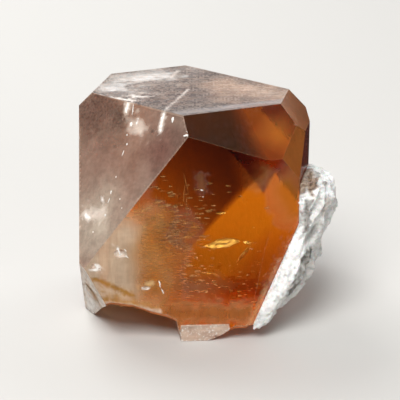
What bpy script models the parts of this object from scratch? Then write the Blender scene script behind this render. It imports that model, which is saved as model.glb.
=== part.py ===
"""A topaz crystal standing on its broken base, with white albite grown on its right side.

Two solids are made: topaz_crystal and albite_matrix. X runs to the right, Y to the back and Z up.
The dimensions below are in millimetres, and mm() turns them into Blender's metres.
The crystal's own origin is a point on its long axis, level with the surface that it stands on.
"""

import math
from dataclasses import dataclass

import bmesh
import bpy
from mathutils import Matrix, Vector, noise

# Topaz lattice, in angstroms: only the ratios matter, because they fix every angle between faces.
LATTICE_A = 4.65
LATTICE_B = 8.80
LATTICE_C = 8.40
A_AXIS_TURN = 49.7  # degrees from the front (-Y) towards the right (+X)

CRYSTAL_HEIGHT = 29.7  # to the basal face c, measured from the surface it stands on
BLOCK_SIZE = 80.0  # rough block that the faces are cut from
CLEARANCE = 0.3  # gap between crystal and albite


@dataclass(frozen=True)
class GrowthFace:
    """A crystal face: its Miller indices and its distance from the crystal's origin."""

    indices: tuple[int, int, int]
    distance: float


@dataclass(frozen=True)
class TurnedFace:
    """A face given by its compass direction, its tilt above level and its distance."""

    azimuth: float
    tilt: float
    distance: float


GROWTH_FACES = {
    "c top": GrowthFace((0, 0, 1), CRYSTAL_HEIGHT),
    "f front left": GrowthFace((0, 2, 1), 21.4),
    "f back right": GrowthFace((0, -2, 1), 21.4),
    "l front": GrowthFace((1, 2, 0), 11.4),
    "l right": GrowthFace((1, -2, 0), 13.7),
    "l back": GrowthFace((-1, -2, 0), 14.6),
    "m front right": GrowthFace((1, 1, 0), 13.3),
    "m right": GrowthFace((1, -1, 0), 14.0),
    "m left": GrowthFace((-1, 1, 0), 16.2),
    "m back": GrowthFace((-1, -1, 0), 15.4),
    "u front right": GrowthFace((1, 1, 2), 26.6),
    "u right": GrowthFace((1, -1, 2), 28.5),
    "d right": GrowthFace((3, 0, 2), 21.9),
    "u left": GrowthFace((-1, 1, 2), 30.4),
    "u back": GrowthFace((-1, -1, 2), 29.9),
}
VICINAL_FACES = {
    "l left": TurnedFace(-87.6, 0.0, 15.5),
    "edge strip": TurnedFace(12.5, 0.0, 12.46),
}
CHIPS = {
    "top back corner": TurnedFace(176.0, 48.0, 30.9),
    "right shoulder": TurnedFace(58.0, 33.0, 26.25),
}

# The left break runs through three points on the crystal: near the foot of f, on l and at the prong.
LEFT_BREAK = ((-15.0, -11.7, 11.3), (-11.8, -12.1, 5.6), (-14.1, -3.8, 0.2))
# The face towards the albite holds the seam on the front and runs back to the right.
SEAM_TOP = (12.3, -9.4, 15.6)
SEAM_FOOT = (6.8, -11.1, 2.6)
SEAM_DEPTH_DIRECTION = (0.30, 0.95, 0.0)
SEAM_BEVEL_TURN = 48.0  # degrees between the bevel and the seam face
SEAM_BEVEL_WIDTH = 0.5

# Broken base: how high the break starts along the front, left to right, and how it falls backwards.
BASE_EDGE = (
    (-20.0, 5.7), (-11.8, 5.6), (-9.1, 5.2), (-6.7, 4.2), (-5.0, 3.7), (-3.6, 2.9), (-3.25, 1.1),
    (-3.0, 0.0), (0.3, 0.0), (1.8, 0.7), (2.9, 1.4), (3.9, 1.8), (5.1, 1.75), (6.8, 2.6), (20.0, 3.2),
)
BASE_FALL = 0.42  # drop for each millimetre backwards
BASE_RIPPLE = 0.22
BASE_RIPPLE_LENGTH = 2.6
BASE_RIM = 0.32  # chipped rim along the lower front edge
PRONG_SETBACK = 0.4
PRONG_RANGE = (-3.25, 3.2)
PRONG_SHOULDER = 2.5  # height at which the front prong's broken face starts
LEFT_PRONG_TIP = (-14.2, -3.8)
LEFT_PRONG_SLOPE = 1.0
LEFT_PRONG_FALL = 0.4
CUTTER_TOP_MIN = -0.5
CUTTER_FLOOR = -3.0

# Small scallops broken out of the front face: centre, then radii across, deep and tall.
SCALLOPS = (
    ((-9.8, -12.13, 12.6), (0.95, 0.34, 0.65)),
    ((-13.1, -12.45, 11.0), (0.60, 0.40, 0.50)),
    ((-6.7, -11.93, 7.8), (0.80, 0.22, 0.35)),
)
TOP_STEP_LINE = ((-3.4, -8.6), (0.2, 13.0))  # a growth step crosses the top face here
TOP_STEP_TILT = 0.55  # degrees

ALBITE_RING_POINTS = 44
ALBITE_RING_STEP = 0.85
ALBITE_SQUARENESS = 2.5
ALBITE_LUMP = 0.5
ALBITE_LUMP_LENGTH = 4.2
ALBITE_GRAIN = 0.22
ALBITE_GRAIN_LENGTH = 1.5
ALBITE_GROOVE = ((14.2, -7.6, 11.2), (10.6, -10.0, 4.4))  # a furrow runs down the front between these
ALBITE_GROOVE_DEPTH = 0.9
ALBITE_GROOVE_WIDTH = 1.1


@dataclass(frozen=True)
class AlbiteSection:
    """One level slice of the albite: its height and how far it reaches each way."""

    z: float
    left: float
    right: float
    front: float
    back: float


ALBITE_SECTIONS = (
    AlbiteSection(1.6, 5.0, 8.2, -10.7, -4.0),
    AlbiteSection(3.0, 5.0, 10.3, -11.1, 0.5),
    AlbiteSection(5.0, 5.5, 12.6, -11.0, 4.0),
    AlbiteSection(8.0, 6.0, 15.0, -10.7, 6.5),
    AlbiteSection(11.5, 7.0, 15.8, -10.1, 7.8),
    AlbiteSection(13.5, 7.5, 16.2, -9.5, 8.0),
    AlbiteSection(16.0, 8.0, 17.4, -9.4, 7.4),
    AlbiteSection(18.0, 8.5, 17.4, -9.9, 5.0),
    AlbiteSection(19.6, 9.0, 16.3, -9.9, 1.0),
    AlbiteSection(20.9, 10.0, 14.9, -9.3, -3.0),
)


def mm(value):
    """Turn millimetres into metres."""
    return value * 0.001


def mm_vector(x, y, z):
    """Turn three millimetre values into a point in metres."""
    return Vector((mm(x), mm(y), mm(z)))


def compass(azimuth, tilt=0.0):
    """Direction at an azimuth from the front towards the right, and a tilt above level."""
    turn = math.radians(azimuth)
    rise = math.radians(tilt)
    level = math.cos(rise)
    return Vector((math.sin(turn) * level, -math.cos(turn) * level, math.sin(rise)))


def lattice_normal(indices):
    """Outward direction of a face from its Miller indices."""
    h, k, l = indices
    a_axis = compass(A_AXIS_TURN)
    b_axis = compass(A_AXIS_TURN - 90.0)
    c_axis = Vector((0.0, 0.0, 1.0))
    return (a_axis * (h / LATTICE_A) + b_axis * (k / LATTICE_B) + c_axis * (l / LATTICE_C)).normalized()


def plane_through(first, second, third):
    """Plane through three millimetre points, as a normal away from the origin and a distance."""
    first, second, third = (Vector(point) for point in (first, second, third))
    normal = (second - first).cross(third - first).normalized()
    if normal.dot(first) < 0.0:
        normal.negate()
    return normal, normal.dot(first)


def seam_plane():
    """Plane of the face that the albite grows against."""
    top = Vector(SEAM_TOP)
    return plane_through(top, SEAM_FOOT, top + Vector(SEAM_DEPTH_DIRECTION))


def seam_bevel_plane():
    """Plane of the narrow bevel between the front of the crystal and the seam face."""
    normal, _ = seam_plane()
    top = Vector(SEAM_TOP)
    along = (top - Vector(SEAM_FOOT)).normalized()
    front = along.cross(normal)
    if front.y > 0.0:
        front.negate()
    turn = math.radians(SEAM_BEVEL_TURN)
    bevel_normal = normal * math.cos(turn) + front * math.sin(turn)
    return bevel_normal, bevel_normal.dot(top) - SEAM_BEVEL_WIDTH * math.sin(turn) * math.cos(turn)


def crystal_planes(growth=0.0):
    """All flat faces of the crystal as (normal, distance), moved outwards by growth."""
    planes = [(lattice_normal(face.indices), face.distance) for face in GROWTH_FACES.values()]
    planes += [(compass(face.azimuth, face.tilt), face.distance) for face in VICINAL_FACES.values()]
    if growth == 0.0:
        planes += [(compass(face.azimuth, face.tilt), face.distance) for face in CHIPS.values()]
        planes.append(plane_through(*LEFT_BREAK))
        planes.append(seam_bevel_plane())
    planes.append(seam_plane())
    return [(normal, distance + growth) for normal, distance in planes]


def convex_block(planes, floor):
    """Cut a block by planes and level it at a floor height, and return its bmesh."""
    block = bmesh.new()
    bmesh.ops.create_cube(block, size=mm(BLOCK_SIZE))
    for normal, distance in [*planes, (Vector((0.0, 0.0, -1.0)), -floor)]:
        geometry = [*block.verts, *block.edges, *block.faces]
        bmesh.ops.bisect_plane(
            block, geom=geometry, dist=1e-8, plane_co=normal * mm(distance), plane_no=normal, clear_outer=True
        )
        open_edges = [edge for edge in block.edges if edge.is_boundary]
        bmesh.ops.holes_fill(block, edges=open_edges)
    bmesh.ops.recalc_face_normals(block, faces=block.faces)
    return block


def new_object(name, mesh_data, material=None):
    """Turn a bmesh into a linked object."""
    mesh = bpy.data.meshes.new(name)
    mesh_data.to_mesh(mesh)
    mesh_data.free()
    obj = bpy.data.objects.new(name, mesh)
    bpy.context.scene.collection.objects.link(obj)
    if material:
        mesh.materials.append(material)
    return obj


def as_cutter(obj):
    """Keep a cutting tool out of the finished part."""
    obj.hide_render = True
    obj.display_type = "WIRE"
    return obj


def cut_away(obj, cutter):
    """Subtract a cutter with a Boolean modifier."""
    modifier = obj.modifiers.new("cut " + cutter.name, "BOOLEAN")
    modifier.operation = "DIFFERENCE"
    modifier.solver = "EXACT"
    modifier.object = cutter


def stone_material(name, color, roughness, transmission=0.0, ior=1.5):
    """Principled material for a mineral."""
    material = bpy.data.materials.new(name)
    material.use_nodes = True
    shader = material.node_tree.nodes["Principled BSDF"]
    shader.inputs["Base Color"].default_value = (*color, 1.0)
    shader.inputs["Roughness"].default_value = roughness
    shader.inputs["Metallic"].default_value = 0.0
    shader.inputs["Transmission Weight"].default_value = transmission
    shader.inputs["IOR"].default_value = ior
    return material


def interpolate(points, position):
    """Read a height from a list of (position, height) points."""
    for (start, low), (end, high) in zip(points, points[1:]):
        if position <= end:
            return low + (high - low) * (position - start) / (end - start)
    return points[-1][1]


def break_height(along, behind):
    """Height of the broken base at a place along the front face and behind it."""
    front = lattice_normal(GROWTH_FACES["l front"].indices)
    side = Vector((-front.y, front.x, 0.0))
    place = front * (GROWTH_FACES["l front"].distance - behind) + side * along
    edge = interpolate(BASE_EDGE, along)
    ripple = noise.noise(Vector((along, behind, 0.0)) / BASE_RIPPLE_LENGTH) * BASE_RIPPLE * min(behind, 1.0)
    main = edge - BASE_FALL * max(behind, 0.0) + ripple
    before_tip = max(0.0, LEFT_PRONG_TIP[1] - place.y)
    prong = (place.x - LEFT_PRONG_TIP[0]) * LEFT_PRONG_SLOPE + LEFT_PRONG_FALL * before_tip
    height = min(main, prong)
    if PRONG_RANGE[0] < along < PRONG_RANGE[1]:
        height = max(height, PRONG_SHOULDER * (1.0 - behind / PRONG_SETBACK))
    elif behind < BASE_RIM:
        height += BASE_RIM - behind
    return place, max(height, CUTTER_TOP_MIN)


def base_cutter():
    """Solid that breaks away the underside of the front, with prongs left standing."""
    stations = sorted({point[0] for point in BASE_EDGE} | set(range(-18, 15)) | set(PRONG_RANGE))
    rows = [-2.0, 0.0, BASE_RIM, PRONG_SETBACK] + [1.0 + 0.9 * step for step in range(16)]
    data = bmesh.new()
    top = []
    bottom = []
    for behind in rows:
        top_row = []
        bottom_row = []
        for along in stations:
            place, height = break_height(along, behind if behind > 0.0 else 0.0)
            if behind < 0.0:
                place = break_height(along, behind)[0]
            top_row.append(data.verts.new(mm_vector(place.x, place.y, height)))
            bottom_row.append(data.verts.new(mm_vector(place.x, place.y, CUTTER_FLOOR)))
        top.append(top_row)
        bottom.append(bottom_row)
    for grid in (top, bottom):
        for near, far in zip(grid, grid[1:]):
            for column in range(len(stations) - 1):
                data.faces.new((near[column], near[column + 1], far[column + 1], far[column]))
    rim_top = [*top[0], *(row[-1] for row in top[1:-1]), *reversed(top[-1]), *(row[0] for row in reversed(top[1:-1]))]
    rim_bottom = [
        *bottom[0], *(row[-1] for row in bottom[1:-1]), *reversed(bottom[-1]),
        *(row[0] for row in reversed(bottom[1:-1])),
    ]
    for index in range(len(rim_top)):
        following = (index + 1) % len(rim_top)
        data.faces.new((rim_top[index], rim_top[following], rim_bottom[following], rim_bottom[index]))
    bmesh.ops.triangulate(data, faces=data.faces)
    bmesh.ops.recalc_face_normals(data, faces=data.faces)
    return as_cutter(new_object("base_break", data))


def scallop_cutter(index, centre, radii):
    """Flattened ball that chips a scallop out of a face."""
    data = bmesh.new()
    bmesh.ops.create_icosphere(data, subdivisions=2, radius=1.0)
    bmesh.ops.scale(data, vec=mm_vector(*radii), verts=data.verts)
    bmesh.ops.translate(data, vec=mm_vector(*centre), verts=data.verts)
    return as_cutter(new_object(f"scallop_{index}", data))


def top_step_cutter():
    """Wedge that lowers the top face on one side of a growth step."""
    data = bmesh.new()
    bmesh.ops.create_cube(data, size=mm(BLOCK_SIZE))
    start, end = (Vector((*point, CRYSTAL_HEIGHT)) for point in TOP_STEP_LINE)
    along = (end - start).normalized()
    left = Vector((-along.y, along.x, 0.0))
    bmesh.ops.translate(data, vec=mm_vector(BLOCK_SIZE / 2.0, 0.0, BLOCK_SIZE / 2.0), verts=data.verts)
    tilt = Matrix.Rotation(math.radians(TOP_STEP_TILT), 4, "Y")
    turn = Matrix((left, along, Vector((0.0, 0.0, 1.0)))).transposed().to_4x4()
    bmesh.ops.transform(data, matrix=turn @ tilt, verts=data.verts)
    bmesh.ops.translate(data, vec=mm_vector(*start), verts=data.verts)
    bmesh.ops.recalc_face_normals(data, faces=data.faces)
    return as_cutter(new_object("top_step", data))


def make_crystal():
    """Cut the topaz from its faces, then break its base and chip its front."""
    material = stone_material("topaz", (0.62, 0.30, 0.08), 0.06, transmission=1.0, ior=1.62)
    crystal = new_object("topaz_crystal", convex_block(crystal_planes(), floor=0.0), material)
    cut_away(crystal, base_cutter())
    cut_away(crystal, top_step_cutter())
    for index, (centre, radii) in enumerate(SCALLOPS, start=1):
        cut_away(crystal, scallop_cutter(index, centre, radii))
    return crystal


def albite_section(z):
    """Albite slice at a height, read between the given slices."""
    def reach(side):
        return interpolate([(section.z, getattr(section, side)) for section in ALBITE_SECTIONS], z)

    return AlbiteSection(z, reach("left"), reach("right"), reach("front"), reach("back"))


def groove_depth(point):
    """How far the furrow in the front of the albite is sunk at a point."""
    start, end = (Vector(place) for place in ALBITE_GROOVE)
    run = end - start
    share = min(1.0, max(0.0, (point - start).dot(run) / run.length_squared))
    distance = (point - (start + run * share)).length
    return ALBITE_GROOVE_DEPTH * math.exp(-((distance / ALBITE_GROOVE_WIDTH) ** 2))


def albite_ring(section):
    """Points round one slice, square-shouldered and lumpy."""
    centre_x = (section.left + section.right) / 2.0
    centre_y = (section.front + section.back) / 2.0
    half_x = (section.right - section.left) / 2.0
    half_y = (section.back - section.front) / 2.0
    points = []
    for index in range(ALBITE_RING_POINTS):
        angle = 2.0 * math.pi * index / ALBITE_RING_POINTS
        across = math.copysign(abs(math.cos(angle)) ** (2.0 / ALBITE_SQUARENESS), math.cos(angle))
        deep = math.copysign(abs(math.sin(angle)) ** (2.0 / ALBITE_SQUARENESS), math.sin(angle))
        point = Vector((centre_x + half_x * across, centre_y + half_y * deep, section.z))
        outward = Vector((across * half_y, deep * half_x, 0.0)).normalized()
        lump = noise.noise(point / ALBITE_LUMP_LENGTH) * ALBITE_LUMP
        grain = noise.noise(point / ALBITE_GRAIN_LENGTH) * ALBITE_GRAIN
        points.append(point + outward * (lump + grain - groove_depth(point)))
    return points


def make_albite():
    """Lumpy albite, hollowed where the crystal stands in it."""
    data = bmesh.new()
    lowest = ALBITE_SECTIONS[0].z
    highest = ALBITE_SECTIONS[-1].z
    ring_count = round((highest - lowest) / ALBITE_RING_STEP) + 1
    rings = []
    for level in range(ring_count):
        z = lowest + (highest - lowest) * level / (ring_count - 1)
        rings.append([data.verts.new(mm_vector(*point)) for point in albite_ring(albite_section(z))])
    for lower, upper in zip(rings, rings[1:]):
        for index in range(ALBITE_RING_POINTS):
            following = (index + 1) % ALBITE_RING_POINTS
            data.faces.new((lower[index], lower[following], upper[following], upper[index]))
    for ring, rise in ((rings[0], -0.3), (rings[-1], 0.15)):
        middle = sum((vertex.co for vertex in ring), Vector()) / ALBITE_RING_POINTS
        peak = data.verts.new(middle + mm_vector(0.0, 0.0, rise))
        for index in range(ALBITE_RING_POINTS):
            data.faces.new((ring[index], ring[(index + 1) % ALBITE_RING_POINTS], peak))
    bmesh.ops.triangulate(data, faces=data.faces)
    bmesh.ops.recalc_face_normals(data, faces=data.faces)
    material = stone_material("albite", (0.86, 0.84, 0.79), 0.55)
    albite = new_object("albite_matrix", data, material)
    core = new_object("crystal_clearance", convex_block(crystal_planes(growth=CLEARANCE), floor=-5.0))
    cut_away(albite, as_cutter(core))
    return albite


def centre_on_origin(parts):
    """Move every object so that the middle of the part's underside is the world origin."""
    bpy.context.view_layer.update()
    graph = bpy.context.evaluated_depsgraph_get()
    corners = []
    for part in parts:
        evaluated = part.evaluated_get(graph)
        corners += [evaluated.matrix_world @ vertex.co for vertex in evaluated.data.vertices]
    low = Vector(min(corner[axis] for corner in corners) for axis in range(3))
    high = Vector(max(corner[axis] for corner in corners) for axis in range(3))
    shift = Vector(((low.x + high.x) / 2.0, (low.y + high.y) / 2.0, low.z))
    for obj in bpy.context.scene.objects:
        obj.location -= shift


def main():
    """Build both solids."""
    for obj in list(bpy.data.objects):
        bpy.data.objects.remove(obj)
    crystal = make_crystal()
    albite = make_albite()
    centre_on_origin([crystal, albite])


main()
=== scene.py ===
"""Looks of a topaz crystal with white albite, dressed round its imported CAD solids.

Lengths in the classes are millimetres and mm() turns them into metres. X runs to the right, Y to
the back and Z up, and the origin is the middle of the crystal's underside, as in the CAD frame.
"""

import logging
import math
import random
from collections.abc import Iterable
from dataclasses import dataclass, field
from enum import Enum
from functools import cache

import bmesh
import bpy
from mathutils import Matrix, Vector, noise
from mathutils.bvhtree import BVHTree


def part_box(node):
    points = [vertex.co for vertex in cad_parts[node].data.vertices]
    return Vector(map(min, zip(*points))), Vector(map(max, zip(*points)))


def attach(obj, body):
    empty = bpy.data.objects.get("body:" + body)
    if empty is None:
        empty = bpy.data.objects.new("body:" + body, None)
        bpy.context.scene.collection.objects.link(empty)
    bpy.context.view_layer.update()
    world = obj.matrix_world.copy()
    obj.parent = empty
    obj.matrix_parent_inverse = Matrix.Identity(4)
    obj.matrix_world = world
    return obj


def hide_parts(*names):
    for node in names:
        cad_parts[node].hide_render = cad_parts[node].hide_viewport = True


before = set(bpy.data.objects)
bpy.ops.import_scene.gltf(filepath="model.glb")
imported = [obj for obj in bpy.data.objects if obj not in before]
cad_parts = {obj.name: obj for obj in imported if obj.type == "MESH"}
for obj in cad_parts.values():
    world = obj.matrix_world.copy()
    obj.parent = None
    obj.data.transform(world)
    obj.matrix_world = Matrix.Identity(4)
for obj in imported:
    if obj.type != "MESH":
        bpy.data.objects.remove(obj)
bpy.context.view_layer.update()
LOG = logging.getLogger("topaz")
WELD = 0.001  # millimetres between points that are one
Point = tuple[float, float, float]


def mm(value: float) -> float:
    """Turn millimetres into metres."""
    return value * 0.001


def mm_vector(point: Iterable[float]) -> Vector:
    """Turn a millimetre point into a vector in metres."""
    return Vector([mm(part) for part in point])


def linear(hex_color: str) -> tuple[float, float, float, float]:
    """Turn an sRGB hex colour into linear red, green, blue and alpha.

    Args:
        hex_color: Six hex digits, such as "c8b8a8".

    Returns:
        The colour in Blender's linear space, with alpha 1.
    """
    parts = [int(hex_color[start : start + 2], 16) / 255.0 for start in (0, 2, 4)]
    red, green, blue = (
        part / 12.92 if part <= 0.04045 else ((part + 0.055) / 1.055) ** 2.4 for part in parts
    )
    return red, green, blue, 1.0


def square_mm(value: float) -> float:
    """Turn square millimetres into square metres."""
    return value * 1e-6


def smoothstep(low: float, high: float, value: float) -> float:
    """Ease from 0 at low to 1 at high."""
    share = min(1.0, max(0.0, (value - low) / (high - low)))
    return share * share * (3.0 - 2.0 * share)


def compass(azimuth: float, tilt: float) -> Vector:
    """Direction at an azimuth from the front towards the right, and a tilt above level, in degrees."""
    turn, rise = math.radians(azimuth), math.radians(tilt)
    return Vector((math.sin(turn) * math.cos(rise), -math.cos(turn) * math.cos(rise), math.sin(rise)))


def stretch_distance(point: Vector, start: Vector, end: Vector) -> float:
    """Distance from a point to a straight stretch.

    Args:
        point: Place to measure from.
        start: One end of the stretch.
        end: Other end, which may be the same as start.

    Returns:
        The distance, in the unit of the points.
    """
    run = end - start
    share = min(1.0, max(0.0, (point - start).dot(run) / max(run.length_squared, 1e-12)))
    return (point - (start + run * share)).length


def add_node(
    tree: bpy.types.NodeTree,
    kind: str,
    settings: dict[str | int, object] | None = None,
    links: dict[str | int, bpy.types.NodeSocket] | None = None,
) -> bpy.types.Node:
    """Add a shader node with its settings and links.

    Args:
        tree: Node tree that takes the node.
        kind: Blender's node type name.
        settings: Properties, or input values where the name is an input's.
        links: Output sockets to join, by the name or index of the input that takes each.

    Returns:
        The new node.
    """
    node = tree.nodes.new(kind)
    for name, value in (settings or {}).items():
        if isinstance(name, int) or name in node.inputs:
            node.inputs[name].default_value = value
        else:
            setattr(node, name, value)
    for name, socket in (links or {}).items():
        tree.links.new(socket, node.inputs[name])
    return node


def new_material(name: str) -> tuple[bpy.types.Material, bpy.types.NodeTree]:
    """Make an empty node material.

    Args:
        name: Name of the material.

    Returns:
        The material and its node tree.
    """
    material = bpy.data.materials.new(name)
    material.use_nodes = True
    material.node_tree.nodes.clear()
    return material, material.node_tree


def merged_copy(node: bpy.types.Object) -> bmesh.types.BMesh:
    """Copy a CAD node's mesh with its loose triangles joined.

    Args:
        node: Node of the CAD frame.

    Returns:
        The joined mesh, in metres.
    """
    data = bmesh.new()
    data.from_mesh(node.data)
    bmesh.ops.remove_doubles(data, verts=data.verts, dist=mm(WELD))
    return data


def finish_piece(
    name: str, data: bmesh.types.BMesh, material: bpy.types.Material, sharp_angle: float
) -> bpy.types.Object:
    """Turn a bmesh into a piece that rides on the crystal's body.

    Args:
        name: Name of the piece.
        data: Mesh in metres, freed here.
        material: Finish of the whole piece.
        sharp_angle: Edges that turn more than this many degrees stay sharp.

    Returns:
        The linked object.
    """
    mesh = bpy.data.meshes.new(name)
    data.to_mesh(mesh)
    data.free()
    mesh.materials.append(material)
    mesh.shade_smooth()
    mesh.set_sharp_from_angle(angle=math.radians(sharp_angle))
    piece = bpy.data.objects.new(name, mesh)
    bpy.context.scene.collection.objects.link(piece)
    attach(piece, "root")
    return piece


class FaceKind(Enum):
    """Families of faces on the crystal, with the azimuth and tilt of each in degrees.

    The last three look down, and their azimuths only keep them apart.
    """

    BASAL = (0.0, 90.0)
    PRISM_FRONT = (3.1, 0.0)
    PRISM_STRIP = (12.5, 0.0)
    PRISM_FRONT_RIGHT = (21.8, 0.0)
    PRISM_RIGHT = (77.5, 0.0)
    PRISM_RIGHT_BACK = (96.3, 0.0)
    PRISM_LEFT = (-87.6, 0.0)
    PRISM_LEFT_BACK = (-102.5, 0.0)
    PRISM_BACK = (-158.2, 0.0)
    PRISM_BACK_RIGHT = (-176.9, 0.0)
    DOME_FRONT_LEFT = (-40.3, 27.6)
    DOME_BACK_RIGHT = (139.7, 27.6)
    PYRAMID_FRONT_RIGHT = (21.8, 44.4)
    PYRAMID_RIGHT = (77.5, 44.4)
    PYRAMID_LEFT = (-102.5, 44.4)
    PYRAMID_BACK = (-158.2, 44.4)
    DOME_RIGHT = (49.7, 20.3)
    SEAM = (72.5, -19.4)
    SEAM_STRIP = (26.0, -3.9)
    LEFT_BREAK = (-59.0, -24.0)
    CLEAVAGE_BASE = (180.0, -90.0)
    UNDERCUT = (0.0, -90.0)
    BREAK = (90.0, -90.0)

    @property
    def direction(self) -> Vector:
        """Outward direction of the family."""
        return compass(*self.value)


BROKEN = (FaceKind.UNDERCUT, FaceKind.BREAK)
KINDS = tuple(FaceKind)
BROKEN_INDEXES = {KINDS.index(kind) for kind in BROKEN}


@cache
def reach_of(kind: FaceKind) -> float:
    """Distance in metres from the origin to the crystal's outermost point along a family's direction."""
    return max(vertex.co.dot(kind.direction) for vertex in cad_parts["topaz_crystal"].data.vertices)


@dataclass(frozen=True)
class Skin:
    """How one stretch of the crystal's surface looks.

    The shares run from 0 to 1: haze is how much light the skin scatters, etch how rough it is,
    stain how speckled with brown, and chip how white and bruised. On the albite's shadow bands the
    stain share is how dark the painted shadow is.
    """

    tone: str = "b5a092"
    haze: float = 0.0
    etch: float = 0.05
    stain_and_shadow: float = 0.0
    chip: float = 0.0

    def shares(self) -> Vector:
        """Haze, etch, stain and chip as one vector."""
        return Vector((self.haze, self.etch, self.stain_and_shadow, self.chip))


@dataclass(frozen=True)
class Patch:
    """A soft-edged patch or streak where the skin differs from the face round it.

    It runs from start to end and fades out at its reach, all in millimetres. Core is the share of
    the reach that shows in full, and ragged is how uneven the outline is.
    """

    skin: Skin
    start: Point
    reach: float
    end: Point | None = None
    core: float = 0.0
    ragged: float = 0.25
    least_spread: float = 0.35

    def share(self, place: Vector) -> float:
        """How much of the patch shows at a place.

        Args:
            place: Position in millimetres.

        Returns:
            The share, from 0 to 1.
        """
        start = Vector(self.start)
        end = Vector(self.end or self.start)
        away = stretch_distance(place, start, end)
        away *= max(self.least_spread, 1.0 + self.ragged * noise.noise(place * (2.0 / self.reach)))
        return 1.0 - smoothstep(self.reach * self.core, self.reach, away)


@dataclass(frozen=True)
class FaceLook:
    """The skin of one family of faces and the patches on it."""

    skin: Skin
    patches: tuple[Patch, ...] = ()

    def at(self, place: Vector) -> tuple[Vector, Vector]:
        """Blend the skin and its patches.

        Args:
            place: Position in millimetres.

        Returns:
            The tone as linear colour and the four shares.
        """
        tone, shares = Vector(linear(self.skin.tone)), self.skin.shares()
        for patch in self.patches:
            share = patch.share(place)
            tone = tone.lerp(Vector(linear(patch.skin.tone)), share)
            shares = shares.lerp(patch.skin.shares(), share)
        return tone, shares


SCRATCH = Skin("d8cec6", haze=0.8, etch=0.8, chip=0.5)
HAZY = Skin("dccec0", haze=0.8, etch=0.5, chip=0.2)
BRUISE = Skin("f2ece4", haze=0.85, etch=0.8, chip=0.95)
WHITENED = Skin("e4dcd4", haze=0.82, etch=0.8, chip=0.62)
WORN = Skin("cbb19c", haze=0.75, etch=0.5, chip=0.1)
CONTACT_RIM = Patch(
    Skin("d8b080", haze=0.5, etch=0.3), (11.2, -11.6, 15.2), 0.75, end=(5.6, -12.6, 2.6), ragged=0.9
)
# painted glow: a hazy amber patch on the front faces by the albite that stands in for the light shining out
# of the stone there
GOLDEN_GLOW = Patch(
    Skin("c8862c", haze=0.32, etch=0.1),
    (9.6, -11.6, 20.6), 3.4, end=(11.0, -11.1, 17.8), core=0.1, ragged=0.35,
)

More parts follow.
